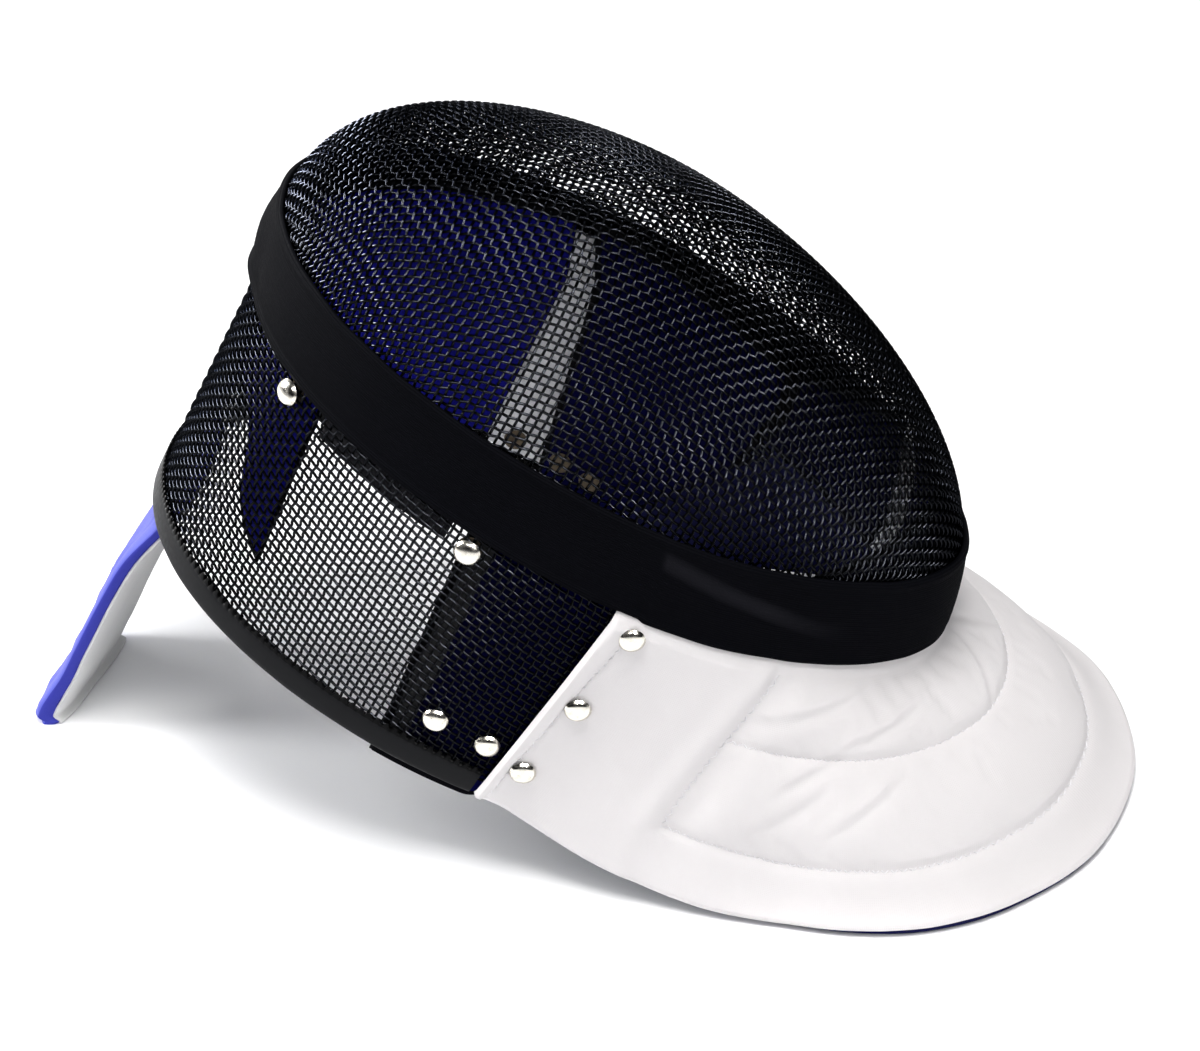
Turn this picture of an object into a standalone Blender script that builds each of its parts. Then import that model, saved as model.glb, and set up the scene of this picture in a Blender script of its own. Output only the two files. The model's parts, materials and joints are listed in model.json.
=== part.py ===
"""Fencing mask lying face up: woven mesh face and sides, seam band, padded lining, quilted bib and sprung tongue.

The mesh shell is worked out in the mask's own frame: x to the wearer's right, y forward, z to the crown.
Its y = 0 plane is the seam plane, where the face mesh meets the side mesh.
Angles run round the shell from the crown (0) by the wearer's right side (90) to the chin (180).
"""

import math

import bmesh
import bpy
from mathutils import Matrix, Vector

# Place of the mask on the surface that it lies on
FACE_TILT = math.radians(27.9)
SEAM_CENTRE = Vector((0.01105, 0.0, 0.1420))

# Mesh shell
SEAM_HALF_LENGTH = 0.1486
SEAM_HALF_WIDTH = 0.0925
SEAM_EGG_TERMS = (0.035, -0.051, 0.074)
DOME_DEPTH = 0.1095
DOME_SHOULDER = 1.416
DOME_ROUNDING = 0.356
DOME_APEX_SHIFT = 0.0297
SIDE_REFERENCE_DEPTH = 0.100
SIDE_SPREAD = (0.127, -0.079)
SIDE_SHORTENING = 0.040
SIDE_EASE = 0.06
MESH_WALL = 0.0020
MESH_JOINT_HEIGHT = 0.0140
RING_COLUMNS = 48
FACE_ROWS = 10
SIDE_ROWS = 5

# Rear border of the side mesh, which turns forward under the bib
RIM_DEPTH_SIDE = 0.0985
RIM_DEPTH_EXTRA_CROWN = 0.0050
CHIN_BORDER_DEPTH = 0.0180
BORDER_TURN_START = 103.0
BORDER_TURN_END = 125.0

# Seam band and rim edging
BAND_HEIGHTS = (-0.0050, 0.0, 0.0138, 0.0235, 0.0324)
BAND_WALL = 0.0016
EDGING_WIDTH = 0.0113
EDGING_WALL = 0.0035
EDGING_LIFT = 0.0012
EDGING_END_ANGLE = 94.5

# Lining
PAD_WALL = 0.0050
PAD_LIFT = -0.0034
PAD_BINDING_OVERHANG = 0.0030
TAPE_WALL = 0.0015

# Bib
BIB_TOP_SIDE = -0.0056
BIB_TOP_CHIN = -0.0108
BIB_SEAT = 0.0005
BIB_LINING_WALL = 0.0010
BIB_LIFT = 0.0015
BIB_WALL = 0.0026
BIB_COLUMNS = 32
BIB_ROWS = (0.0, 0.11, 0.22, 0.34, 0.46, 0.59, 0.71, 0.82, 0.92, 1.0)
BIB_FOOT_SHARE = 0.08
BIB_EDGE_REAR = -0.1070
BIB_EDGE_SWEEP = 2.2
BIB_SNUG_START = 80.0
BIB_SNUG_END = 69.0
QUILT_SEAMS = (0.03, 0.34, 0.71, 0.92)
QUILT_PUFFS = (0.0022, 0.0026, 0.0012)
QUILT_START = 119.0
QUILT_FULL = 124.0

# Rivets
RIVET_HEAD_RADIUS = 0.0054
RIVET_HEAD_HEIGHT = 0.0024
RIVET_SHANK_RADIUS = 0.0016
RIVET_HOLE_RADIUS = 0.0019
RIVET_BACK_RADIUS = 0.0048
RIVET_BACK_HEIGHT = 0.0010
RIVET_SIDES = 8

# Tongue
TONGUE_WIDTH = 0.060
TONGUE_BOW = 8.2
TONGUE_SIDES = 18
TONGUE_SQUARENESS = 4.0
TONGUE_SHEAR_HEIGHTS = (-0.185, -0.225)
FACING_WALL = 0.0012
FACING_WIDTH = 0.048
FACING_GAP = 0.0007

# Clear gap between pieces that touch
GAP = 0.0004

# Rivets of one side: angle (degrees), height over the seam plane (m), lift of the head's seat (m)
RIVET_TABLE = (
    ("crown", 35.6, -0.0112, 0.0007),
    ("temple", 74.8, -0.0132, 0.0005),
    ("cheek_upper", 84.0, -0.0850, 0.0005),
    ("cheek_lower", 92.8, -0.0850, 0.0005),
    ("bib_front", 101.0, -0.0116, 0.0052),
    ("bib_middle", 100.3, -0.0490, 0.0055),
    ("bib_rear", 99.0, -0.0860, 0.0056),
)
RIVET_BACK_SEAT = -0.0089

# Bib sections, near side: angle on the band, then the hem's x, half width and height, foot and bulge (m)
BIB_TABLE = (
    (97.2, -0.0300, 0.0950, 0.0365, 0.0, 0.0),
    (104.0, -0.0030, 0.0985, 0.0235, 0.0, 0.0020),
    (112.0, 0.0280, 0.1020, 0.0120, 0.0, 0.0024),
    (120.0, 0.0580, 0.1065, 0.0036, 0.0, 0.0018),
    (129.0, 0.0880, 0.1105, 0.0, 0.0040, 0.0018),
    (139.0, 0.1180, 0.1125, 0.0, 0.0060, 0.0026),
    (149.0, 0.1480, 0.1070, 0.0, 0.0080, 0.0028),
    (159.0, 0.1780, 0.0890, 0.0, 0.0080, 0.0030),
    (169.0, 0.2080, 0.0535, 0.0, 0.0080, 0.0030),
    (180.0, 0.2210, 0.0, 0.0, 0.0080, 0.0030),
)

# Crown pad from the wearer's left (negative) to the right: angle, front and rear height (m)
CROWN_PAD_TABLE = (
    (-78.6, 0.0160, -0.0950),
    (-66.0, 0.0160, -0.0900),
    (-50.0, 0.0160, -0.0680),
    (-34.0, 0.0160, -0.0460),
    (-12.0, 0.0160, -0.0360),
    (12.0, 0.0160, -0.0360),
    (27.0, 0.0140, -0.0410),
    (35.0, 0.0120, -0.0680),
    (43.0, 0.0100, -0.0820),
)
CROWN_PAD_END_SLANT = 4.0

# Free stretch of the tongue: height, crest z, crest x, middle x and thickness (m)
TONGUE_TABLE = (
    (-0.0620, 0.1420, 0.0, 0.0, 0.0050),
    (-0.0900, 0.1404, 0.0, 0.0, 0.0060),
    (-0.1180, 0.1388, 0.0010, 0.0, 0.0065),
    (-0.1400, 0.1400, 0.0060, 0.0010, 0.0070),
    (-0.1650, 0.1402, 0.0110, 0.0020, 0.0070),
    (-0.1900, 0.1392, 0.0120, 0.0030, 0.0070),
    (-0.2060, 0.1386, 0.0120, 0.0030, 0.0075),
    (-0.2180, 0.1398, 0.0120, 0.0030, 0.0090),
    (-0.2270, 0.1400, 0.0120, 0.0030, 0.0095),
    (-0.2330, 0.1388, 0.0120, 0.0030, 0.0085),
)

MASK_AXES = Matrix(
    (
        (0.0, math.sin(FACE_TILT), -math.cos(FACE_TILT)),
        (-1.0, 0.0, 0.0),
        (0.0, math.cos(FACE_TILT), math.sin(FACE_TILT)),
    )
)
MASK_PLACE = Matrix.Translation(SEAM_CENTRE) @ MASK_AXES.to_4x4()
MASK_INVERSE = MASK_PLACE.inverted()


def clear_scene():
    for obj in list(bpy.data.objects):
        bpy.data.objects.remove(obj)


def make_material(name, color, roughness, metallic=0.0):
    material = bpy.data.materials.new(name)
    material.use_nodes = True
    shader = material.node_tree.nodes["Principled BSDF"]
    shader.inputs["Base Color"].default_value = (*color, 1.0)
    shader.inputs["Roughness"].default_value = roughness
    shader.inputs["Metallic"].default_value = metallic
    return material


def smooth_step(low, high, value):
    """Rises from 0 at low to 1 at high, where low may be the larger of the two."""
    share = min(max((value - low) / (high - low), 0.0), 1.0)
    return share * share * (3.0 - 2.0 * share)


def table_row(table, position):
    """The table's row at a position counted in rows, on a smooth curve through the rows."""
    index = min(int(position), len(table) - 2)
    share = position - index
    before = table[max(index - 1, 0)]
    start = table[index]
    end = table[index + 1]
    after = table[min(index + 2, len(table) - 1)]
    row = []
    for p, q, r, s in zip(before, start, end, after):
        leave = (r - p) / 2.0
        arrive = (s - q) / 2.0
        row.append(
            q
            + leave * share
            + (3.0 * (r - q) - 2.0 * leave - arrive) * share**2
            + (2.0 * (q - r) + leave + arrive) * share**3
        )
    return row


def outline_point(angle, height):
    """A point of the shell's outer face at an angle in radians and a height over the seam plane."""
    ring = 1.0
    wide = 1.0
    long = 1.0
    if height > 0.0:
        rise = min(height / DOME_DEPTH, 1.0)
        ring = (1.0 - rise ** (1.0 / DOME_ROUNDING)) ** (1.0 / DOME_SHOULDER)
    else:
        back = -height / SIDE_REFERENCE_DEPTH
        back = back**2 / (back + SIDE_EASE)
        wide = 1.0 + SIDE_SPREAD[0] * back + SIDE_SPREAD[1] * back**2
        long = 1.0 - SIDE_SHORTENING * back
    along = ring * math.cos(angle)
    across = ring * math.sin(angle)
    for power, term in enumerate(SEAM_EGG_TERMS, start=1):
        across += ring * math.sin(angle) * term * along**power
    x = SEAM_HALF_WIDTH * wide * across
    z = SEAM_HALF_LENGTH * long * along + DOME_APEX_SHIFT * max(height / DOME_DEPTH, 0.0)
    return Vector((x, height, z))


def shell_normal(degrees, height):
    angle = math.radians(degrees)
    turn = outline_point(angle + 0.01, height) - outline_point(angle - 0.01, height)
    climb = outline_point(angle, height + 0.0005) - outline_point(angle, height - 0.0005)
    return turn.cross(climb).normalized()


def shell_point(degrees, height, lift=0.0):
    """A point at a distance outside the shell's outer face (inside it where lift is negative)."""
    point = outline_point(math.radians(degrees), height)
    if lift:
        point += shell_normal(degrees, height) * lift
    return point


def side_border(degrees):
    """Height of the side mesh's rear border at an angle."""
    rim = -RIM_DEPTH_SIDE - RIM_DEPTH_EXTRA_CROWN * math.cos(math.radians(degrees))
    turn = smooth_step(BORDER_TURN_START, BORDER_TURN_END, abs(degrees))
    return rim + (-CHIN_BORDER_DEPTH - rim) * turn


def mask_object(name, mesh, material, frame):
    """One piece, held in the mask's frame, shaded smooth up to its edges."""
    mesh.materials.append(material)
    mesh.shade_smooth()
    mesh.set_sharp_from_angle(angle=math.radians(42.0))
    obj = bpy.data.objects.new(name, mesh)
    bpy.context.scene.collection.objects.link(obj)
    obj.parent = frame
    return obj


def add_sheet(name, columns, rows, place, wall, material, frame):
    """A curved sheet with a wall: place(u, v) gives its base face, and a positive wall grows outward."""
    work = bmesh.new()
    bmesh.ops.create_grid(work, x_segments=columns, y_segments=rows, size=0.5)
    for vert in work.verts:
        vert.co = place(vert.co.x + 0.5, vert.co.y + 0.5)
    bmesh.ops.remove_doubles(work, verts=work.verts, dist=0.00002)
    mesh = bpy.data.meshes.new(name)
    work.to_mesh(mesh)
    work.free()
    obj = mask_object(name, mesh, material, frame)
    solid = obj.modifiers.new("wall", "SOLIDIFY")
    solid.thickness = abs(wall)
    solid.offset = math.copysign(1.0, wall)
    solid.use_even_offset = True
    return obj


def cut_holes(obj, cutter):
    cut = obj.modifiers.new("rivet holes", "BOOLEAN")
    cut.operation = "DIFFERENCE"
    cut.object = cutter


def add_face_mesh(material, frame):
    """Dome over the face, from its apex down to the joint with the side mesh."""
    joint = math.acos((MESH_JOINT_HEIGHT / DOME_DEPTH) ** (0.5 / DOME_ROUNDING))

    def place(u, v):
        latitude = joint * (1.0 - v)
        height = DOME_DEPTH * math.cos(latitude) ** (2.0 * DOME_ROUNDING)
        return shell_point(360.0 * u, height)

    return add_sheet("face_mesh", RING_COLUMNS, FACE_ROWS, place, -MESH_WALL, material, frame)


def add_side_mesh(material, frame):
    """Wrap over crown and sides down to the rim, and a narrow strip under the chin."""
    top = MESH_JOINT_HEIGHT - GAP

    def place(u, v):
        degrees = 360.0 * u - 180.0
        height = side_border(degrees) * (1.0 - v * (SIDE_ROWS + 1) / SIDE_ROWS)
        return shell_point(degrees, top if v > 0.99 else height)

    return add_sheet("side_mesh", RING_COLUMNS, SIDE_ROWS + 1, place, -MESH_WALL, material, frame)


def add_seam_band(material, frame):
    """Wide elastic band over the joint of the two meshes."""
    rows = len(BAND_HEIGHTS) - 1

    def place(u, v):
        return shell_point(360.0 * u, BAND_HEIGHTS[round(v * rows)], GAP + BAND_WALL)

    return add_sheet("seam_band", RING_COLUMNS, rows, place, -BAND_WALL, material, frame)


def add_rim_edging(material, frame):
    """Edging along the rear border of the side mesh, from one end of the bib to the other."""

    def place(u, v):
        degrees = EDGING_END_ANGLE * (2.0 * u - 1.0)
        top = side_border(degrees) - GAP
        return shell_point(degrees, top - EDGING_WIDTH * (1.0 - v), EDGING_LIFT)

    return add_sheet("rim_edging", 28, 1, place, -EDGING_WALL, material, frame)


def add_pad(name, columns, rows, edges, material, frame, wall=PAD_WALL, lift=PAD_LIFT):
    """A lining piece on the mesh's inner face: edges(u, v) gives its angle, front and rear height."""

    def place(u, v):
        degrees, front, rear = edges(u, v)
        return shell_point(degrees, rear + (front - rear) * v, lift)

    return add_sheet(name, columns, rows, place, -wall, material, frame)


def crown_pad_edges(u, v):
    """Crown pad: a crescent round the crown with broad slanted ends."""
    degrees, front, rear = table_row(CROWN_PAD_TABLE, u * (len(CROWN_PAD_TABLE) - 1))
    outward = smooth_step(0.75, 1.0, abs(2.0 * u - 1.0)) * math.copysign(1.0, u - 0.5)
    return degrees + outward * CROWN_PAD_END_SLANT * (0.5 - v), front, rear


def cheek_pad_edges(side, upper_front, upper_rear):
    """Edges of a cheek pad, whose upper edge runs from one angle at the front to another at the rear."""
    lower = 118.0

    def edges(u, v):
        across = u if side > 0 else 1.0 - u
        upper = upper_rear + (upper_front - upper_rear) * v
        degrees = upper + (lower - upper) * across
        covered = 1.0 - smooth_step(94.0, 104.0, degrees)
        rear = side_border(degrees) - covered * (EDGING_WIDTH + PAD_BINDING_OVERHANG)
        return side * degrees, 0.0120, rear

    return edges


def chin_pad_edges(u, v):
    """Chin pad: its front edge rises into the dome towards the middle."""
    degrees = 118.6 + 122.8 * u
    rise = math.sin(math.pi * u) ** 0.8
    return degrees, 0.0080 + 0.0470 * rise, -CHIN_BORDER_DEPTH


def tape_edges(u, v):
    """Lining tape along the band, between the crown pad and the right cheek pad."""
    return 44.4 + (70.8 - 44.4) * u, 0.0080, -0.0165


def add_lining(pad_material, tape_material, frame):
    crown = add_pad("crown_pad", 24, 4, crown_pad_edges, pad_material, frame)
    right = add_pad("cheek_pad_right", 6, 5, cheek_pad_edges(1.0, 72.2, 78.0), pad_material, frame)
    left = add_pad("cheek_pad_left", 6, 5, cheek_pad_edges(-1.0, 77.2, 92.0), pad_material, frame)
    chin = add_pad("chin_pad", 16, 4, chin_pad_edges, pad_material, frame)
    add_pad("lining_tape", 4, 2, tape_edges, tape_material, frame, TAPE_WALL)
    return crown, right, left, chin


def bib_top(degrees):
    """Height of the bib's upper edge, lower at the chin, where the bib stands out under the band."""
    chin = smooth_step(80.0, 35.0, abs(180.0 - degrees))
    return BIB_TOP_SIDE + (BIB_TOP_CHIN - BIB_TOP_SIDE) * chin


def bib_fall(degrees, w, hem, foot, lying):
    """A point on the straight fall from the band to the knee above the hem, or on the foot that lies on the floor."""
    top = MASK_PLACE @ shell_point(degrees, bib_top(degrees), BIB_SEAT)
    fall = top - hem
    inward = Vector((fall.x, fall.y, 0.0)).normalized()
    knee = hem + inward * foot + fall * BIB_FOOT_SHARE * (1.0 - lying)
    turn = 1.0 - BIB_FOOT_SHARE
    if w <= turn:
        return MASK_INVERSE @ top.lerp(knee, w / turn)
    return MASK_INVERSE @ knee.lerp(hem, (w - turn) / BIB_FOOT_SHARE)


def bib_rise(degrees, w, bulge):
    """How far the bib stands out from its straight fall: its bulge and its quilted channels."""
    rise = bulge * math.sin(math.pi * min(w / (1.0 - BIB_FOOT_SHARE), 1.0))
    quilted = smooth_step(QUILT_START, QUILT_FULL, 180.0 - abs(180.0 - degrees))
    for start, end, puff in zip(QUILT_SEAMS, QUILT_SEAMS[1:], QUILT_PUFFS):
        if start < w < end:
            rise += quilted * puff * math.sin(math.pi * (w - start) / (end - start))
    return rise


def bib_base(u, w):
    """The bib's underside before its rise: u runs from the right edge to the left, w from the band to the hem."""
    left_half = tuple((360.0 - row[0], row[1], -row[2], *row[3:]) for row in BIB_TABLE[-2::-1])
    degrees, hem_x, hem_y, hem_z, foot, bulge = table_row(BIB_TABLE + left_half, 2.0 * (len(BIB_TABLE) - 1) * u)
    foot = max(foot, 0.0)
    lying = min(foot / max(row[4] for row in BIB_TABLE), 1.0)
    point = bib_fall(degrees, w, Vector((hem_x, -hem_y, max(hem_z, 0.0))), foot, lying)
    from_chin = abs(180.0 - degrees)
    snug = smooth_step(BIB_SNUG_END, BIB_SNUG_START, from_chin)
    sweep = math.copysign(BIB_EDGE_SWEEP * w, 180.0 - degrees)
    height = bib_top(degrees) + (BIB_EDGE_REAR - bib_top(degrees)) * w
    on_mesh = shell_point(degrees - sweep, height, BIB_SEAT)
    return point.lerp(on_mesh, snug), bib_rise(degrees, w, bulge) * (1.0 - snug)


def bib_normal(u, w):
    step = 0.004
    across = bib_base(min(u + step, 1.0), w)[0] - bib_base(max(u - step, 0.0), w)[0]
    down = bib_base(u, min(w + step, 1.0))[0] - bib_base(u, max(w - step, 0.0))[0]
    return down.cross(across).normalized()


def bib_point(u, w, lift):
    point, rise = bib_base(u, w)
    return point + bib_normal(u, w) * (rise + lift)


def add_bib_layer(name, lift, wall, material, frame):
    rows = len(BIB_ROWS) - 1

    def place(u, v):
        return bib_point(u, BIB_ROWS[rows - round(v * rows)], lift)

    return add_sheet(name, BIB_COLUMNS, rows, place, wall, material, frame)


def tongue_crest(x, row):
    """Height z of the tongue's outer face at x."""
    return row[1] - TONGUE_BOW * (x - row[2]) ** 2


def floor_height(z):
    """Height over the seam plane at which a point of the mask's frame meets the floor."""
    return -(SEAM_CENTRE.z + z * math.sin(FACE_TILT)) / math.cos(FACE_TILT)


def tongue_point(turn, position):
    """A point of the tongue's skin: turn runs round its section, position from the root to the tip."""
    last = len(TONGUE_TABLE) - 1
    row = table_row(TONGUE_TABLE, position * last)
    across = math.cos(2.0 * math.pi * turn)
    bulge = (1.0 - min(abs(across), 1.0) ** TONGUE_SQUARENESS) ** (1.0 / TONGUE_SQUARENESS)
    if turn > 0.5:
        bulge = -bulge
    x = row[3] + TONGUE_WIDTH / 2.0 * across
    z = tongue_crest(x, row) - row[4] / 2.0 * (1.0 - bulge)
    if position > 0.999:
        return Vector((x, floor_height(z), z))
    shear = smooth_step(*TONGUE_SHEAR_HEIGHTS, row[0])
    return Vector((x, row[0] + shear * (floor_height(z) - floor_height(row[1])), z))


def add_tongue(material, frame):
    """Padded tongue, from inside the crown's rim down to its tip on the floor."""
    work = bmesh.new()
    stations = len(TONGUE_TABLE) - 1
    bmesh.ops.create_grid(work, x_segments=TONGUE_SIDES, y_segments=stations, size=0.5)
    for vert in work.verts:
        vert.co = tongue_point(vert.co.x + 0.5, vert.co.y + 0.5)
    bmesh.ops.remove_doubles(work, verts=work.verts, dist=0.00002)
    bmesh.ops.holes_fill(work, edges=work.edges, sides=0)
    bmesh.ops.recalc_face_normals(work, faces=work.faces)
    mesh = bpy.data.meshes.new("tongue")
    work.to_mesh(mesh)
    work.free()
    return mask_object("tongue", mesh, material, frame)


def add_tongue_facing(material, frame):
    """Thin facing on the tongue's inner side."""
    last = len(TONGUE_TABLE) - 1
    rows = 8

    def place(u, v):
        row = table_row(TONGUE_TABLE, last * (0.06 + 0.84 * (1.0 - v)))
        x = row[3] + FACING_WIDTH * (0.5 - u)
        z = tongue_crest(x, row) - row[4] - FACING_GAP
        shear = smooth_step(*TONGUE_SHEAR_HEIGHTS, row[0])
        return Vector((x, row[0] + shear * (floor_height(z) - floor_height(row[1])), z))

    return add_sheet("tongue_facing", 6, rows, place, FACING_WALL, material, frame)


def turned_profile(name, profile):
    """A round piece on the z axis from a profile of (radius, z) points that starts and ends on the axis."""
    work = bmesh.new()
    verts = [work.verts.new((radius, 0.0, z)) for radius, z in profile]
    edges = [work.edges.new(pair) for pair in zip(verts, verts[1:])]
    bmesh.ops.spin(
        work,
        geom=verts + edges,
        axis=(0.0, 0.0, 1.0),
        cent=(0.0, 0.0, 0.0),
        angle=2.0 * math.pi,
        steps=RIVET_SIDES,
        use_merge=True,
    )
    bmesh.ops.remove_doubles(work, verts=work.verts, dist=0.00001)
    bmesh.ops.recalc_face_normals(work, faces=work.faces)
    mesh = bpy.data.meshes.new(name)
    work.to_mesh(mesh)
    work.free()
    return mesh


def rivet_place(side, degrees, height, lift):
    """Matrix in the mask's frame that stands a rivet on the shell, with z outward."""
    normal = shell_normal(side * degrees, height)
    point = shell_point(side * degrees, height, lift)
    return Matrix.Translation(point) @ normal.to_track_quat("Z", "Y").to_matrix().to_4x4()


def add_rivets(material, frame):
    """Domed rivets, in pairs, whose shanks go through the mesh and the lining to a flat back."""
    for side, word in ((1.0, "right"), (-1.0, "left")):
        for name, degrees, height, seat in RIVET_TABLE:
            back = RIVET_BACK_SEAT - seat
            profile = (
                (0.0, RIVET_HEAD_HEIGHT),
                (RIVET_HEAD_RADIUS * 0.62, RIVET_HEAD_HEIGHT * 0.76),
                (RIVET_HEAD_RADIUS, 0.0),
                (RIVET_SHANK_RADIUS, 0.0),
                (RIVET_SHANK_RADIUS, back),
                (RIVET_BACK_RADIUS, back),
                (RIVET_BACK_RADIUS * 0.85, back - RIVET_BACK_HEIGHT),
                (0.0, back - RIVET_BACK_HEIGHT),
            )
            node = f"rivet_{name}_{word}"
            rivet = mask_object(node, turned_profile(node, profile), material, frame)
            rivet.matrix_local = rivet_place(side, degrees, height, seat)


def add_rivet_holes(frame):
    """Cutter with one round hole for each shank."""
    work = bmesh.new()
    reach = 0.010
    for side in (1.0, -1.0):
        for _, degrees, height, _ in RIVET_TABLE:
            place = rivet_place(side, degrees, height, 0.0)
            bmesh.ops.create_cone(
                work,
                cap_ends=True,
                segments=8,
                radius1=RIVET_HOLE_RADIUS,
                radius2=RIVET_HOLE_RADIUS,
                depth=2.0 * reach,
                matrix=place,
            )
    mesh = bpy.data.meshes.new("rivet_holes")
    work.to_mesh(mesh)
    work.free()
    cutter = bpy.data.objects.new("rivet_holes", mesh)
    bpy.context.scene.collection.objects.link(cutter)
    cutter.parent = frame
    cutter.hide_render = True
    cutter.display_type = "WIRE"
    return cutter


def main():
    clear_scene()
    wire = make_material("black_wire", (0.02, 0.02, 0.025), 0.4, 0.6)
    elastic = make_material("black_elastic", (0.012, 0.012, 0.018), 0.7)
    vinyl = make_material("black_vinyl", (0.03, 0.03, 0.035), 0.35)
    white_cloth = make_material("white_cloth", (0.86, 0.85, 0.86), 0.8)
    blue_cloth = make_material("blue_cloth", (0.10, 0.10, 0.55), 0.75)
    navy_cloth = make_material("navy_cloth", (0.01, 0.01, 0.20), 0.8)
    nickel = make_material("nickel", (0.72, 0.70, 0.64), 0.3, 1.0)

    frame = bpy.data.objects.new("mask_frame", None)
    bpy.context.scene.collection.objects.link(frame)
    frame.matrix_world = MASK_PLACE

    add_face_mesh(wire, frame)
    side_mesh = add_side_mesh(wire, frame)
    add_seam_band(elastic, frame)
    add_rim_edging(vinyl, frame)
    pads = add_lining(navy_cloth, elastic, frame)
    bib = add_bib_layer("bib", BIB_LIFT, BIB_WALL, white_cloth, frame)
    bib_lining = add_bib_layer("bib_lining", 0.0, BIB_LINING_WALL, blue_cloth, frame)
    add_tongue(blue_cloth, frame)
    add_tongue_facing(white_cloth, frame)
    add_rivets(nickel, frame)
    cutter = add_rivet_holes(frame)
    for obj in (side_mesh, bib, bib_lining, *pads[:3]):
        cut_holes(obj, cutter)


main()
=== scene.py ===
"""Fencing mask lying face up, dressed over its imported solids.

The shell is worked out in the mask's own frame: x to the wearer's right, y forward, z to the crown.
Its y = 0 plane is the seam plane, where the face mesh meets the side mesh.
Angles run round the shell from the crown (0) by the wearer's right side (90) to the chin (180).
"""

import json
import math

import bmesh
import bpy
from bpy.props import FloatProperty, FloatVectorProperty, IntProperty, PointerProperty
from mathutils import Matrix, Vector, noise

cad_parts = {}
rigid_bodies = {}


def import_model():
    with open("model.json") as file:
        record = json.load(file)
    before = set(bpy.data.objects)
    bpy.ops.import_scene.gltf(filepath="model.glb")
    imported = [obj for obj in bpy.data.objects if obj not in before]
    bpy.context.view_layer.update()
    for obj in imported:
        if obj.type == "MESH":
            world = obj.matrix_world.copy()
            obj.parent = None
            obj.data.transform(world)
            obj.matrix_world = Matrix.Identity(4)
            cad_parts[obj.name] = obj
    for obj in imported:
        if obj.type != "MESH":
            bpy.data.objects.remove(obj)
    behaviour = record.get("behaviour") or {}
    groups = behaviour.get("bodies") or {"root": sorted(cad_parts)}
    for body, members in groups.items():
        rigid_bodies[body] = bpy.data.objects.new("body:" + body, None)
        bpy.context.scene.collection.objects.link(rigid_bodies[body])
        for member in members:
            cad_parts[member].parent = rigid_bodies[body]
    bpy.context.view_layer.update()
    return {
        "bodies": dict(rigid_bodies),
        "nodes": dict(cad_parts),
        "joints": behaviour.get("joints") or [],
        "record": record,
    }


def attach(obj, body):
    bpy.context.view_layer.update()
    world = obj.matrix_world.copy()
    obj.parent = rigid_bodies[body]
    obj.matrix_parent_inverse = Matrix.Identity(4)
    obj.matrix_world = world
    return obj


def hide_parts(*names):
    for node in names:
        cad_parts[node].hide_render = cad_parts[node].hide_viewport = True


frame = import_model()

bl_info = {
    "name": "Fencing Mask",
    "version": (1, 0, 0),
    "blender": (4, 5, 0),
    "location": "3D View > Sidebar > Mask",
    "description": "Builds a fencing mask: woven mesh, elastic band, lining, quilted bib and sprung tongue",
    "category": "Add Mesh",
}

# Place of the mask on the surface that it lies on
FACE_TILT = math.radians(27.9)
SEAM_CENTRE = Vector((0.01105, 0.0, 0.1420))

# Mesh shell
SEAM_HALF_LENGTH = 0.1486
SEAM_HALF_WIDTH = 0.0925
SEAM_EGG_TERMS = (0.035, -0.051, 0.074)
DOME_DEPTH = 0.1095
DOME_SHOULDER = 1.416
DOME_ROUNDING = 0.356
DOME_APEX_SHIFT = 0.0297
SIDE_REFERENCE_DEPTH = 0.100
SIDE_SPREAD = (0.127, -0.079)
SIDE_SHORTENING = 0.040
SIDE_EASE = 0.06
MESH_WALL = 0.0020

# Rear border of the side mesh
RIM_DEPTH_SIDE = 0.0985
RIM_DEPTH_EXTRA_CROWN = 0.0050
CHIN_BORDER_DEPTH = 0.0180
BORDER_TURN_START = 103.0
BORDER_TURN_END = 125.0

# Weave: how far each net reaches and how far it may pass the middle plane (m), and where its wires end
NET_START_Z = 0.018
NET_LONGEST_RUN = 200
FACE_NET_REACH = -0.004
FACE_NET_SLACK = 0.001
FACE_NET_FOOT = 0.0085
SIDE_NET_REACH = (-0.135, 0.030)
SIDE_NET_SLACK = 0.002
SIDE_NET_START = -0.050
SIDE_NET_SAG = 3.5557e-06
SIDE_NET_TOP = 0.0065
SIDE_NET_UNDERLAP = 0.0060
SETTLE_ROUNDS = 5
SIDE_CRIMPS = (1.35, 0.35)

# Band and edging; the ridge, along which a highlight is painted on the band, lies along and across the band's
# UV map (m)
BAND_REAR = -0.0050
BAND_WIDTH = 0.0374
BAND_LENGTH = 0.79
BAND_INNER_LIFT = 0.0004
RIDGE_ALONG = (0.2216, 0.285)
RIDGE_ACROSS = (0.0290, 0.0165)
RIDGE_HALF_WIDTH = 0.0045
RIDGE_FADES = ((0.2216, 0.002), (0.297, -0.035))
EDGING_WIDTH = 0.0113
EDGING_WALL = 0.0035
EDGING_LIFT = 0.0012
EDGING_GIRTH = 0.028
EDGING_LENGTH = 0.39
EDGING_LUMP_TURNS = (0.96, 0.13)
EDGING_ROUNDING = (0.45, 0.55)
EDGING_END_ANGLE = 94.5

# Cloth: frames and pressure of the simulations, growth, and farthest moves inward and outward (m)
CLOTH_FRAMES = 20
CLOTH_PRESSURE = 4.0
BIB_CLOTH = (0.004, (-0.0004, 0.0008))
PAD_CLOTH = (0.020, (-0.0004, 0.0012))
TONGUE_CLOTH = (0.015, (-0.0006, 0.0009))

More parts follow.
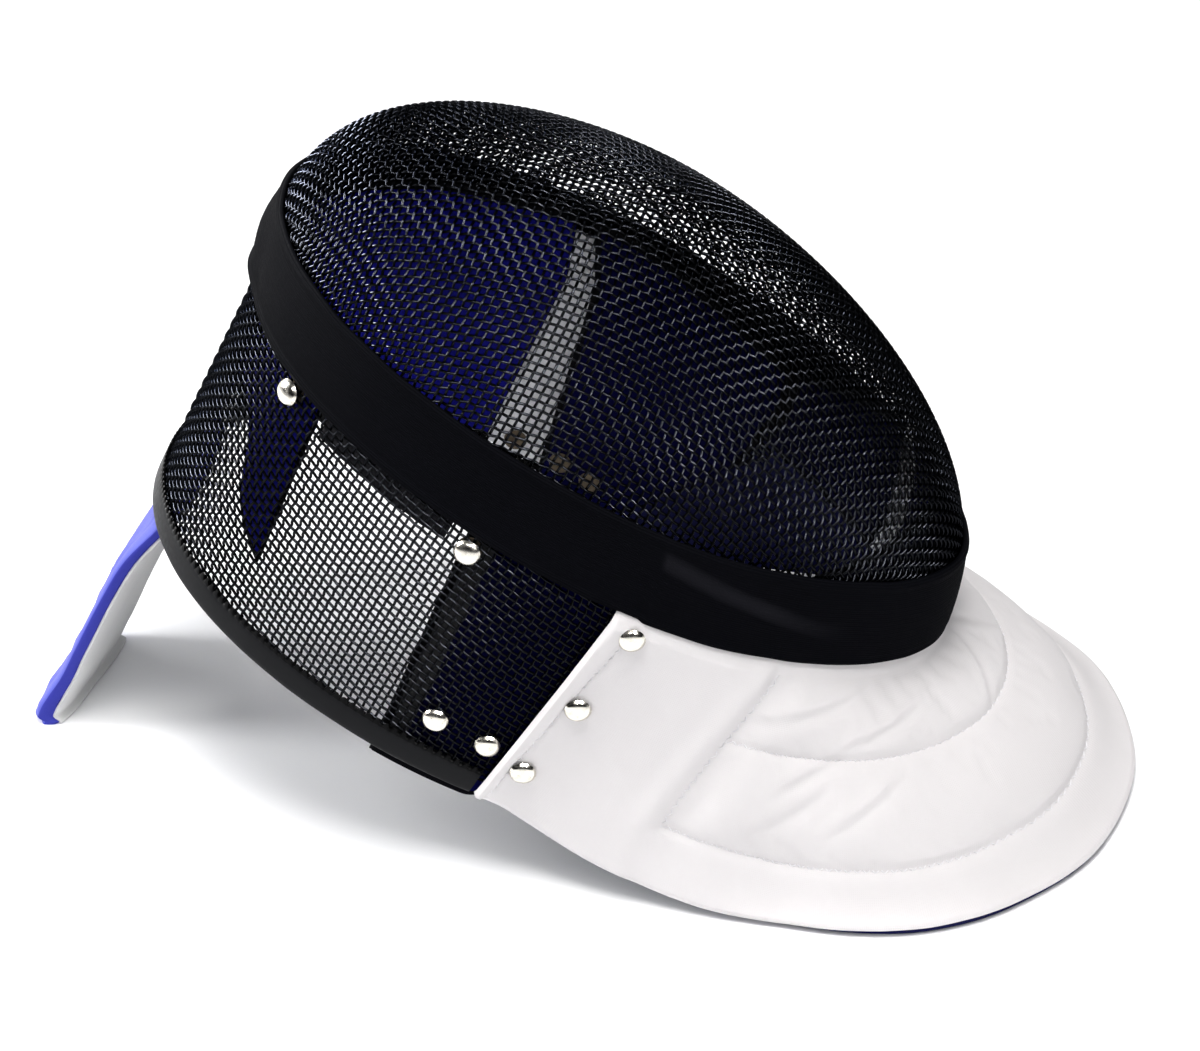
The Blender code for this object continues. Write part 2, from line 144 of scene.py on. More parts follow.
# Lining
PAD_WALL = 0.0050
PAD_LIFT = -0.0034
PAD_BINDING_OVERHANG = 0.0055
PAD_ROLL = 0.0026
PAD_FELT_WIDTH = 0.0105
PAD_ROUNDING = 0.0016
TAPE_WALL = 0.0015
TAPE_WIDTH = 0.0245
TAPE_LENGTH = 0.064
TAPE_REAR = -0.0165
TAPE_ANGLES = (44.4, 26.4)

# Bib
BIB_TOP_SIDE = -0.0056
BIB_TOP_CHIN = -0.0108
BIB_SEAT = 0.0005
BIB_LINING_WALL = 0.0010
LINING_INSET = 0.012
LINING_SPAN = 0.977
BIB_LIFT = 0.0015
BIB_WALL = 0.0026
BIB_FOOT_SHARE = 0.08
BIB_EDGE_REAR = -0.1070
BIB_EDGE_SWEEP = 2.2
BIB_SNUG_START = 80.0
BIB_SNUG_END = 69.0
BIB_TUCK = 0.035
BIB_BINDING = 0.0092
BIB_LENGTH = 0.50
BIB_DEPTH = 0.105
QUILT_SEAMS = (0.03, 0.32, 0.73, 1.0)
QUILT_PUFFS = (0.0022, 0.0028, 0.0006)
QUILT_FOOT_ANGLE = 113.8
QUILT_SLANT = 11.8
QUILT_SLANT_POWER = 2.3
QUILT_RAMP = 7.0

# Tongue
TONGUE_WIDTH = 0.060
TONGUE_BOW = 8.2
TONGUE_SQUARENESS = 4.0
TONGUE_SHEAR_HEIGHTS = (-0.185, -0.225)
TONGUE_TWIST = 0.19
TONGUE_NEAR_SLOPE = 0.09
# Share of the half width past which the tongue's sides, below the seam, are painted a deeper blue as painted
# shade
TONGUE_SHADED_SIDE = 0.75
TONGUE_TWIST_HEIGHTS = (-0.085, -0.150)
TONGUE_SEAM = 0.35
TONGUE_TIP_TUCK = 0.0034
TONGUE_STITCH_INSET = 0.0062
TONGUE_SWELL = 0.0008
TONGUE_GIRTH = 0.13
TONGUE_LENGTH = 0.2
TONGUE_TIP_START = 0.94
FACING_WALL = 0.0012
FACING_WIDTH = 0.0575
FACING_LENGTH = 0.162
FACING_START = 0.06
FACING_GAP = 0.0002

# Rivets of one side: angle (degrees), height over the seam plane (m), lift of the head's seat (m)
RIVET_TABLE = (
    ("crown", 35.6, -0.0112, 0.0007),
    ("temple", 74.8, -0.0132, 0.0005),
    ("cheek_upper", 84.0, -0.0850, 0.0005),
    ("cheek_lower", 92.8, -0.0850, 0.0005),
    ("bib_front", 101.0, -0.0116, 0.0052),
    ("bib_middle", 100.3, -0.0490, 0.0055),
    ("bib_rear", 99.0, -0.0860, 0.0056),
)
RIVET_BACK_SEAT = -0.0089
RIVET_COVERED_SEAT = -0.0028
RIVETS_COVERED = ("crown", "temple")
RIVET_SHANK_RADIUS = 0.0016

# Bib sections, near side: angle on the band, then the hem's x, half width and height, foot and bulge (m)
BIB_TABLE = (
    (97.2, -0.0300, 0.0950, 0.0365, 0.0, 0.0),
    (104.0, -0.0030, 0.0985, 0.0235, 0.0, 0.0020),
    (112.0, 0.0280, 0.1020, 0.0120, 0.0, 0.0024),
    (120.0, 0.0580, 0.1065, 0.0036, 0.0, 0.0018),
    (129.0, 0.0880, 0.1105, 0.0, 0.0040, 0.0018),
    (139.0, 0.1180, 0.1125, 0.0, 0.0060, 0.0026),
    (149.0, 0.1480, 0.1070, 0.0, 0.0080, 0.0028),
    (159.0, 0.1780, 0.0890, 0.0, 0.0080, 0.0030),
    (169.0, 0.2080, 0.0535, 0.0, 0.0080, 0.0030),
    (180.0, 0.2210, 0.0, 0.0, 0.0080, 0.0030),
)

# Crown pad from the wearer's left (negative) to the right: angle, front and rear height (m)
CROWN_PAD_TABLE = (
    (-77.8, 0.0300, -0.0950),
    (-66.0, 0.0275, -0.0900),
    (-50.0, 0.0225, -0.0680),
    (-34.0, 0.0170, -0.0460),
    (-12.0, 0.0160, -0.0360),
    (12.0, 0.0160, -0.0360),
    (27.0, 0.0140, -0.0410),
    (35.0, 0.0120, -0.0680),
    (43.0, 0.0100, -0.0820),
)
CROWN_PAD_END_SLANT = 4.0

# Cheek and chin pads: heights (m) and angles (degrees); the edging covers the border up to EDGING_COVER
CHEEK_PAD_FRONT = 0.0165
CHEEK_PAD_LOWER_END = 118.0
CHEEK_PAD_RISE_END = 84.0
EDGING_COVER = (94.0, 104.0)
CHIN_PAD_START = 118.6
CHIN_PAD_SPAN = 122.8
CHIN_PAD_RISE = 0.0390

# Pale strip beside the left cheek pad, painted light where light shows through the gap between the pads: rear
# height and width (m), then angle, degrees to the metre and depth
STRIP_REAR = -0.0935
STRIP_WIDTH = 0.1155
STRIP_CROWN_EDGE = (-79.4, 32.0, 0.095)
STRIP_CHEEK_EDGE = (-92.4, 93.9, 0.1153)

# Soft folds of the bib, near side: (u, w) of their two ends, and their depth and half width (m)
FOLD_TABLE = (
    (0.190, 0.22, 0.300, 0.07, 0.0013, 0.0032),
    (0.280, 0.27, 0.372, 0.16, 0.0011, 0.0026),
    (0.215, 0.45, 0.268, 0.32, 0.0011, 0.0030),
    (0.262, 0.60, 0.322, 0.43, 0.0013, 0.0032),
    (0.200, 0.62, 0.250, 0.46, 0.0008, 0.0034),
    (0.455, 0.30, 0.500, 0.06, 0.0009, 0.0034),
    (0.545, 0.28, 0.520, 0.05, 0.0010, 0.0040),
    (0.700, 0.25, 0.610, 0.10, 0.0011, 0.0030),
    (0.735, 0.58, 0.665, 0.42, 0.0012, 0.0032),
    (0.800, 0.50, 0.745, 0.36, 0.0009, 0.0030),
)

# Free stretch of the tongue: height, crest z, crest x, middle x and thickness (m)
TONGUE_TABLE = (
    (-0.0620, 0.1420, 0.0, 0.0, 0.0050),
    (-0.0900, 0.1404, 0.0, 0.0, 0.0060),
    (-0.1180, 0.1388, 0.0010, 0.0, 0.0065),
    (-0.1400, 0.1400, 0.0060, 0.0010, 0.0070),
    (-0.1650, 0.1402, 0.0110, 0.0020, 0.0070),
    (-0.1900, 0.1392, 0.0120, 0.0030, 0.0070),
    (-0.2060, 0.1386, 0.0120, 0.0030, 0.0075),
    (-0.2180, 0.1398, 0.0120, 0.0030, 0.0090),
    (-0.2270, 0.1400, 0.0120, 0.0030, 0.0095),
    (-0.2330, 0.1388, 0.0120, 0.0030, 0.0085),
)

MASK_AXES = Matrix(
    (
        (0.0, math.sin(FACE_TILT), -math.cos(FACE_TILT)),
        (-1.0, 0.0, 0.0),
        (0.0, math.cos(FACE_TILT), math.sin(FACE_TILT)),
    )
)
MASK_PLACE = Matrix.Translation(SEAM_CENTRE) @ MASK_AXES.to_4x4()
MASK_INVERSE = MASK_PLACE.inverted()


def length_setting(name, description, default, **more):
    """A size in metres that a user can change."""
    return FloatProperty(name=name, description=description, default=default, unit="LENGTH", **more)


def color_setting(name, description, default):
    """A colour that a user can change."""
    return FloatVectorProperty(name=name, description=description, default=default, subtype="COLOR")


def power_setting(name, description, default):
    """The power of a light, in watts, that a user can change."""
    return FloatProperty(name=name, description=description, default=default, unit="POWER")


def smooth_step(low, high, value):
    """Rises from 0 at low to 1 at high, where low may be the larger of the two."""
    share = min(max((value - low) / (high - low), 0.0), 1.0)
    return share * share * (3.0 - 2.0 * share)


def table_row(table, position):
    """The table's row at a position counted in rows, on a smooth curve through the rows."""
    index = min(int(position), len(table) - 2)
    share = position - index
    before = table[max(index - 1, 0)]
    start = table[index]
    end = table[index + 1]
    after = table[min(index + 2, len(table) - 1)]
    row = []
    for p, q, r, s in zip(before, start, end, after):
        leave = (r - p) / 2.0
        arrive = (s - q) / 2.0
        row.append(
            q
            + leave * share
            + (3.0 * (r - q) - 2.0 * leave - arrive) * share**2
            + (2.0 * (q - r) + leave + arrive) * share**3
        )
    return row


def egg_factor(along):
    """Factor of the outline's width at a share of its half length from the middle towards the crown."""
    return 1.0 + sum(term * along**power for power, term in enumerate(SEAM_EGG_TERMS, start=1))


def side_scales(height):
    """Width and length factors of the shell's outline behind the seam plane."""
    back = max(-height, 0.0) / SIDE_REFERENCE_DEPTH
    back = back**2 / (back + SIDE_EASE)
    return 1.0 + SIDE_SPREAD[0] * back + SIDE_SPREAD[1] * back**2, 1.0 - SIDE_SHORTENING * back


def outline_point(angle, height):
    """A point of the shell's outer face at an angle in radians and a height over the seam plane."""
    rise = min(max(height / DOME_DEPTH, 0.0), 1.0)
    ring = (1.0 - rise ** (1.0 / DOME_ROUNDING)) ** (1.0 / DOME_SHOULDER)
    wide, long = side_scales(height)
    along = ring * math.cos(angle)
    across = ring * math.sin(angle)
    for power, term in enumerate(SEAM_EGG_TERMS, start=1):
        across += ring * math.sin(angle) * term * along**power
    x = SEAM_HALF_WIDTH * wide * across
    z = SEAM_HALF_LENGTH * long * along + DOME_APEX_SHIFT * max(height / DOME_DEPTH, 0.0)
    return Vector((x, height, z))


def shell_normal(degrees, height):
    angle = math.radians(degrees)
    turn = outline_point(angle + 0.01, height) - outline_point(angle - 0.01, height)
    climb = outline_point(angle, height + 0.0005) - outline_point(angle, height - 0.0005)
    return turn.cross(climb).normalized()


def shell_point(degrees, height, lift=0.0):
    """A point at a distance outside the shell's outer face (inside it where lift is negative)."""
    point = outline_point(math.radians(degrees), height)
    if lift:
        point += shell_normal(degrees, height) * lift
    return point


def side_border(degrees):
    """Height of the side mesh's rear border at an angle."""
    rim = -RIM_DEPTH_SIDE - RIM_DEPTH_EXTRA_CROWN * math.cos(math.radians(degrees))
    turn = smooth_step(BORDER_TURN_START, BORDER_TURN_END, abs(degrees))
    return rim + (-CHIN_BORDER_DEPTH - rim) * turn


def finish_piece(name, mesh, material, slot, *nodes, sharp=42.0):
    """Moves a mesh out of the mask's frame and makes it a piece that stands for the given nodes."""
    mesh.transform(MASK_PLACE)
    if not mesh.materials:
        mesh.materials.append(material)
    mesh.shade_smooth()
    if sharp:
        mesh.set_sharp_from_angle(angle=math.radians(sharp))
    piece = bpy.data.objects.new(name, mesh)
    bpy.context.scene.collection.objects.link(piece)
    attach(piece, "root")
    if nodes:
        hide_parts(*nodes)
    return piece


def take_mesh(work, name):
    """A new mesh from a bmesh, which it frees."""
    mesh = bpy.data.meshes.new(name)
    work.to_mesh(mesh)
    work.free()
    return mesh


def grid_mesh(name, columns, rows, place, uv, closed=False):
    """A mesh from a grid laid out by place(u, v), with its own UV map in metres from uv(u, v)."""
    work = bmesh.new()
    bmesh.ops.create_grid(work, x_segments=columns, y_segments=rows, size=0.5, calc_uvs=True)
    spots = {vert: (vert.co.x + 0.5, vert.co.y + 0.5) for vert in work.verts}
    layer = work.loops.layers.uv.verify()
    for face in work.faces:
        for loop in face.loops:
            loop[layer].uv = uv(*spots[loop.vert])
    for vert, (u, v) in spots.items():
        vert.co = place(u, v)
    bmesh.ops.remove_doubles(work, verts=work.verts, dist=0.00002)
    if closed:
        bmesh.ops.holes_fill(work, edges=work.edges, sides=0)
        bmesh.ops.recalc_face_normals(work, faces=work.faces)
    return take_mesh(work, name)


def face_spots(mesh):
    """Each face of a mesh with its middle on the UV map."""
    corners = mesh.uv_layers[0].data
    for face in mesh.polygons:
        total = sum((corners[loop].uv for loop in face.loop_indices), Vector((0.0, 0.0)))
        yield face, total / face.loop_total


def add_wall(piece, wall, bevel=0.0):
    """A live wall on a sheet, grown outward where wall is positive, with softened edges."""
    solid = piece.modifiers.new("wall", "SOLIDIFY")
    solid.thickness = abs(wall)
    solid.offset = math.copysign(1.0, wall)
    solid.use_even_offset = False
    if bevel:
        soft = piece.modifiers.new("soft edges", "BEVEL")
        soft.width = bevel
        soft.segments = 2
        soft.limit_method = "ANGLE"
        soft.angle_limit = math.radians(50.0)


def cloth_moves(mesh, loose, growth, limits):
    """Moves of a mesh's vertices when it is blown up as cloth, free where loose(u, v) is true on its UV map.

    The cloth grows by a share and swells by its pressure; limits are its farthest moves inward and outward.
    """
    corners = mesh.uv_layers[0].data
    spots = {loop.vertex_index: corners[loop.index].uv.copy() for loop in mesh.loops}
    scene = bpy.context.scene
    form = bpy.data.objects.new("cloth_form", mesh)
    scene.collection.objects.link(form)
    pinned = form.vertex_groups.new(name="pinned")
    pinned.add([index for index, spot in spots.items() if not loose(spot.x, spot.y)], 1.0, "REPLACE")
    cloth = form.modifiers.new("cloth", "CLOTH")
    cloth.collision_settings.use_collision = False
    cloth.point_cache.frame_end = CLOTH_FRAMES
    settings = cloth.settings
    settings.quality = 4
    settings.vertex_group_mass = "pinned"
    settings.bending_stiffness = 0.1
    settings.use_pressure = True
    settings.uniform_pressure_force = CLOTH_PRESSURE
    settings.shrink_min = settings.shrink_max = -growth
    settings.effector_weights.gravity = 0.0
    for frame in range(1, CLOTH_FRAMES + 1):
        scene.frame_set(frame)
    blown = form.evaluated_get(bpy.context.evaluated_depsgraph_get()).data
    moves = []
    for before, after in zip(mesh.vertices, blown.vertices):
        out = (after.co - before.co).dot(before.normal)
        moves.append(before.normal * min(max(out, limits[0]), limits[1]))
    scene.frame_set(1)
    bpy.data.objects.remove(form)
    return moves


def blow_up(mesh, loose, growth, limits):
    """Gives a closed mesh the swelling and the slack of stuffed cloth."""
    for vert, move in zip(mesh.vertices, cloth_moves(mesh, loose, growth, limits)):
        vert.co += move


def blown_sheet(columns, rows, place, loose, growth, limits):
    """Moves of an open grid blown up as cloth, as a function of (u, v) that is smooth between its points."""
    mesh = grid_mesh("sheet_form", columns, rows, place, lambda u, v: (u, v))
    corners = mesh.uv_layers[0].data
    moves = cloth_moves(mesh, loose, growth, limits)
    table = {}
    for loop in mesh.loops:
        spot = corners[loop.index].uv
        table[round(spot.x * columns), round(spot.y * rows)] = moves[loop.vertex_index]
    bpy.data.meshes.remove(mesh)

    def move(u, v):
        i = min(int(u * columns), columns - 1)
        j = min(int(v * rows), rows - 1)
        near = table[i, j].lerp(table[i + 1, j], u * columns - i)
        far = table[i, j + 1].lerp(table[i + 1, j + 1], u * columns - i)
        return near.lerp(far, v * rows - j)

    return move


class Shader:
    """A material's node tree, with short calls for adding and linking nodes."""

    def __init__(self, name, color, roughness, metallic=0.0, **sockets):
        self.material = bpy.data.materials.new(name)
        self.material.use_nodes = True
        self.tree = self.material.node_tree
        self.surface = self.tree.nodes["Principled BSDF"]
        self.surface.inputs["Base Color"].default_value = (*color, 1.0)
        self.surface.inputs["Roughness"].default_value = roughness
        self.surface.inputs["Metallic"].default_value = metallic
        for socket, value in sockets.items():
            self.surface.inputs[socket.replace("_", " ")].default_value = value
        self.coordinates = self.tree.nodes.new("ShaderNodeTexCoord")

    def node(self, kind, settings=None, **links):
        """Adds a node: settings are its properties, and links go to its inputs as sockets or values."""
        made = self.tree.nodes.new(kind)
        for key, value in (settings or {}).items():
            setattr(made, key, value)
        for key, value in links.items():
            socket = made.inputs[int(key[1:])] if key[0] == "_" else made.inputs[key.replace("_", " ")]
            if isinstance(value, bpy.types.NodeSocket):
                self.tree.links.new(value, socket)
            else:
                socket.default_value = value
        return made

    def noise(self, scale, detail=3.0):
        where = self.coordinates.outputs["Object"]
        return self.node("ShaderNodeTexNoise", None, Vector=where, Scale=scale, Detail=detail).outputs["Fac"]

    def range(self, value, low, high, start=0.3, end=0.7):
        bounds = {"From_Min": start, "From_Max": end, "To_Min": low, "To_Max": high}
        return self.node("ShaderNodeMapRange", None, Value=value, **bounds).outputs["Result"]

    def blend(self, share, first, second):
        """Mixes two colours, each a socket or a constant."""
        ends = [end if isinstance(end, bpy.types.NodeSocket) else (*end, 1.0) for end in (first, second)]
        return self.node("ShaderNodeMix", {"data_type": "RGBA"}, _0=share, _6=ends[0], _7=ends[1]).outputs[2]

    def math(self, operation, first, second=0.0):
        return self.node("ShaderNodeMath", {"operation": operation}, _0=first, _1=second).outputs[0]

    def set(self, socket, source):
        self.tree.links.new(source, self.surface.inputs[socket])

    def bump(self, height, strength, distance, **before):
        """Adds a bump to the surface, on top of the Normal given in before."""
        inputs = {"Height": height, "Strength": strength, "Distance": distance, **before}
        normal = self.node("ShaderNodeBump", None, **inputs).outputs["Normal"]
        self.set("Normal", normal)
        return normal

    def weave(self, threads):
        """Height of a plain weave on the piece's UV map, with a number of threads to the metre."""
        heights = []
        for direction in ("X", "Y"):
            wave = self.node(
                "ShaderNodeTexWave",
                {"bands_direction": direction, "wave_profile": "SIN"},
                Vector=self.coordinates.outputs["UV"],
                Scale=threads * math.pi / 10.0,
                Distortion=0.4,
                Detail=1.0,
            )
            heights.append(wave.outputs["Fac"])
        return self.math("MULTIPLY", heights[0], heights[1])


def cloth_shader(name, color, shade, roughness, threads, bump=0.25, **sockets):
    """Woven cloth: thread bump on the UV map, a little colour change from place to place."""
    cloth = Shader(name, color, roughness, 0.0, **{"Specular_IOR_Level": 0.15, **sockets})
    patches = cloth.noise(14.0, 4.0)
    fibres = cloth.noise(900.0, 2.0)
    tone = cloth.blend(cloth.range(patches, 0.0, 1.0), color, shade)
    cloth.set("Base Color", cloth.blend(cloth.range(fibres, 0.0, 0.12), tone, shade))
    cloth.set("Roughness", cloth.range(fibres, roughness - 0.06, roughness + 0.06))
    first = cloth.bump(cloth.weave(threads), bump, 0.0002)
    cloth.bump(fibres, bump * 0.5, 0.0001, Normal=first)
    return cloth


def wire_shader(color):
    wire = Shader("black_wire_enamel", color, 0.24, 1.0, Specular_Tint=(0.03, 0.03, 0.03, 1.0))
    wear = wire.noise(260.0, 4.0)
    wire.set("Roughness", wire.range(wear, 0.20, 0.28))
    wire.set("Base Color", wire.blend(wire.range(wear, 0.0, 1.0, 0.55, 0.8), color, (0.024, 0.025, 0.029)))
    wire.bump(wire.noise(1800.0, 2.0), 0.12, 0.0001)
    return wire.material


class MASK_PG_weave(bpy.types.PropertyGroup):
    pitch: length_setting("Pitch", "Distance between neighbouring wires", 0.0031, min=0.002)
    wire_radius: length_setting("Wire radius", "Half the thickness of a wire", 0.00056, min=0.0002)
    crimp: length_setting("Crimp", "How far a wire swings out of the middle surface", 0.00046)
    flat: FloatProperty(
        name="Flat share",
        description="Share of the pitch that a wire's crest keeps on each side",
        default=0.2,
    )
    sides: IntProperty(name="Sides", description="Flat sides round a wire", default=5, min=3)
    color: color_setting("Enamel", "Colour of the wire's coat", (0.0160, 0.0168, 0.0195))


def shell_level(point):
    """0 on the shell's outer face, above 0 outside it."""
    x, y, z = point
    rise = max(y / DOME_DEPTH, 0.0)
    wide, long = side_scales(y)
    along = (z - DOME_APEX_SHIFT * rise) / (SEAM_HALF_LENGTH * long)
    across = x / (SEAM_HALF_WIDTH * wide * egg_factor(along))
    return rise ** (1.0 / DOME_ROUNDING) + (across**2 + along**2) ** (DOME_SHOULDER / 2.0) - 1.0


def shell_slope(point):
    step = 0.0002
    axes = (Vector((step, 0.0, 0.0)), Vector((0.0, step, 0.0)), Vector((0.0, 0.0, step)))
    return Vector([(shell_level(point + axis) - shell_level(point - axis)) / (2.0 * step) for axis in axes])


def settle(guess, pitch, neighbours, plane=None):
    """Moves a guess onto the shell and the plane (axis, offset), one pitch from each neighbour."""
    point = guess.copy()
    for _ in range(SETTLE_ROUNDS):
        rows = [shell_slope(point)]
        misses = [shell_level(point)]
        for other in neighbours:
            rows.append((point - other) * 2.0)
            misses.append((point - other).length_squared - pitch**2)
        if plane:
            axis, offset = plane
            rows.append(Vector([1.0 if axis == index else 0.0 for index in range(3)]))
            misses.append(point[axis] - offset)
        point -= Matrix(rows).inverted() @ Vector(misses)
    return point


def run_line(start, direction, pitch, planes, keep):
    """Crossings along a line of the shell from start: planes(k) gives the plane of crossing k."""
    points = [start]
    for k in range(1, NET_LONGEST_RUN):
        guess = points[-1] + direction
        point = settle(guess, pitch, points[-1:], planes(k))
        if not keep(point):
            break
        direction = point - points[-1]
        points.append(point)
    return points


def fill_net(net, columns, row_steps, pitch, keep):
    """Fills the net outward from its first column and its first row, one pitch from both neighbours."""
    for i in range(1, columns):
        for step in row_steps:
            j = step
            while True:
                left = net.get((i - 1, j))
                below = net.get((i, j - step))
                corner = net.get((i - 1, j - step))
                if not (left and below and corner):
                    break
                point = settle(left + below - corner, pitch, (left, below))
                if keep(point):
                    net[i, j] = point
                else:
                    break
                j += step
    return net


def face_net(pitch):
    """Crossings (column, row) of the right half of the face mesh: columns across, rows along the crest."""

    def keep(point):
        return point.y > FACE_NET_REACH and point.x > -FACE_NET_SLACK

    start = Vector((0.0, 0.0, NET_START_Z))
    low, high = 0.0, 0.2
    for _ in range(40):
        start.y = (low + high) / 2.0
        low, high = (start.y, high) if shell_level(start) < 0.0 else (low, start.y)
    net = {}
    for step in (1, -1):
        line = run_line(start, Vector((0.0, 0.0, -step * pitch)), pitch, lambda k: (0, 0.0), keep)
        net.update({(0, step * k): point for k, point in enumerate(line)})
    line = run_line(start, Vector((pitch, 0.0, 0.0)), pitch, lambda k: (2, NET_START_Z), keep)
    net.update({(k, 0): point for k, point in enumerate(line)})
    return fill_net(net, len(line), (1, -1), pitch, keep)


def side_net(pitch):
    """Crossings (column, row) of the right half of the side mesh: columns round it, rows to the rear."""

    def keep(point):
        return SIDE_NET_REACH[0] < point.y < SIDE_NET_REACH[1] and point.x > -SIDE_NET_SLACK

    start = outline_point(0.0, SIDE_NET_START)
    net = {}
    for step in (1, -1):
        line = run_line(start, Vector((0.0, -step * pitch, 0.0)), pitch, lambda k: (0, 0.0), keep)
        net.update({(0, step * k): point for k, point in enumerate(line)})
    sagging = lambda k: (1, SIDE_NET_START - SIDE_NET_SAG * k * k)
    line = run_line(start, Vector((pitch, 0.0, 0.0)), pitch, sagging, keep)
    net.update({(k, 0): point for k, point in enumerate(line)})
    return fill_net(net, len(line), (1, -1), pitch, keep)


def shell_angle(point):
    """Angle in degrees of a point of the right half of the side mesh."""
    wide, long = side_scales(point.y)
    along = point.z / (SEAM_HALF_LENGTH * long)
    across = point.x / (SEAM_HALF_WIDTH * wide * egg_factor(along))
    return math.degrees(math.atan2(across, along))


def crimped_line(cells, sign, weave):
    """Points of one wire over a run of crossings, which it passes over and under in turn."""
    points = []
    for k, (key, point, normal) in enumerate(cells):
        swing = sign * weave.crimp * (1.0 if sum(key) % 2 else -1.0)
        middle = point + normal * (swing - MESH_WALL / 2.0)
        for other in (k - 1, k + 1):
            if 0 <= other < len(cells):
                points.append(middle + (cells[other][1] - point) * weave.flat)
    return points


def wire_runs(net, along, keep):
    """Runs of neighbouring crossings that keep accepts, in both halves of the mesh."""
    lines = {}
    for (i, j), point in net.items():
        normal = shell_slope(point).normalized()
        for side in (1, -1):
            if i == 0 and side < 0:
                continue
            mirrored = Vector((side * point.x, point.y, point.z))
            facing = Vector((side * normal.x, normal.y, normal.z))
            cell = ((side * i, j), mirrored, facing)
            lines.setdefault(cell[0][1 - along], []).append(cell)
    for line in lines.values():
        line.sort(key=lambda cell: cell[0][along])
        run = []
        for cell in line:
            if run and (cell[0][along] - run[-1][0][along] != 1 or not keep(cell[1])):
                if len(run) > 1:
                    yield run
                run = []
            if keep(cell[1]):
                run.append(cell)
        if len(run) > 1:
            yield run


def wire_ring(weave):
    """Round section of a wire."""
    ring = bpy.data.curves.new("wire_section", "CURVE")
    ring.dimensions = "2D"
    spline = ring.splines.new("POLY")
    spline.points.add(weave.sides - 1)
    for index, point in enumerate(spline.points):
        turn = 2.0 * math.pi * index / weave.sides
        point.co = (weave.wire_radius * math.cos(turn), weave.wire_radius * math.sin(turn), 0.0, 1.0)
    spline.use_cyclic_u = True
    return bpy.data.objects.new("wire_section", ring)


def tube_mesh(name, lines, section=None, radius=0.0):
    """One mesh of bars along the given lines of points, with a section curve or a radius."""
    curve = bpy.data.curves.new(name, "CURVE")
    curve.dimensions = "3D"
    curve.use_fill_caps = True
    if section:
        curve.bevel_mode = "OBJECT"
        curve.bevel_object = section
    else:
        curve.bevel_depth = radius
        curve.bevel_resolution = 0
    for line in lines:
        spline = curve.splines.new("POLY")
        spline.points.add(len(line) - 1)
        for point, place in zip(spline.points, line):
            point.co = (*place, 1.0)
    bar = bpy.data.objects.new(name, curve)
    bpy.context.scene.collection.objects.link(bar)
    evaluated = bar.evaluated_get(bpy.context.evaluated_depsgraph_get())
    mesh = bpy.data.meshes.new_from_object(evaluated)
    mesh.name = name
    bpy.data.objects.remove(bar)
    bpy.data.curves.remove(curve)
    return mesh


def add_weave(node, net, keep, weave, material, crimps=(1.0, 1.0)):
    """The two families of wires of a mesh, each a piece of its own; crimps are their shares of the crimp."""
    section = wire_ring(weave)
    bpy.context.scene.collection.objects.link(section)
    for along, word, sign in ((1, "warp", crimps[0]), (0, "weft", -crimps[1])):
        lines = [crimped_line(run, sign, weave) for run in wire_runs(net, along, keep)]
        mesh = tube_mesh(f"{node}_{word}", lines, section)
        finish_piece(f"{node}_{word}", mesh, material, "black_wire", node, sharp=0.0)
    bpy.data.objects.remove(section)


class MASK_OT_face_mesh(bpy.types.Operator):
    """Weave the wires of the face mesh"""

    bl_idname = "mask.face_mesh"
    bl_label = "Face Mesh"

    def execute(self, context):
        weave = context.scene.mask_weave
        material = wire_shader(weave.color)
        keep = lambda point: point.y > FACE_NET_FOOT
        add_weave("face_mesh", face_net(weave.pitch), keep, weave, material)
        return {"FINISHED"}


class MASK_OT_side_mesh(bpy.types.Operator):
    """Weave the wires of the side mesh"""

    bl_idname = "mask.side_mesh"
    bl_label = "Side Mesh"

    def execute(self, context):
        weave = context.scene.mask_weave
        material = bpy.data.materials.get("black_wire_enamel") or wire_shader(weave.color)

        def keep(point):
            return side_border(shell_angle(point)) - SIDE_NET_UNDERLAP < point.y < SIDE_NET_TOP

        add_weave("side_mesh", side_net(weave.pitch), keep, weave, material, SIDE_CRIMPS)
        return {"FINISHED"}


class MASK_PG_band(bpy.types.PropertyGroup):
    wall: length_setting("Wall", "Thickness of the band between its ribs", 0.0014, min=0.0005)
    rib_pitch: length_setting("Rib pitch", "Distance between the band's lengthwise ribs", 0.00187)
    rib_height: length_setting("Rib height", "Height of the ribs", 0.00007)
    overlap_start: FloatProperty(
        name="Overlap start",
        description="Angle where the band's end lies over its start, in degrees",
        default=100.8,
    )
    overlap_end: FloatProperty(
        name="Overlap end", description="Angle where the covered end fades out, in degrees", default=127.0
    )
    fine_rib_pitch: length_setting("Fine rib pitch", "Distance between the fine ribs in the cloth", 0.0009)
    color: color_setting("Elastic", "Colour of the band", (0.0012, 0.0014, 0.0028))


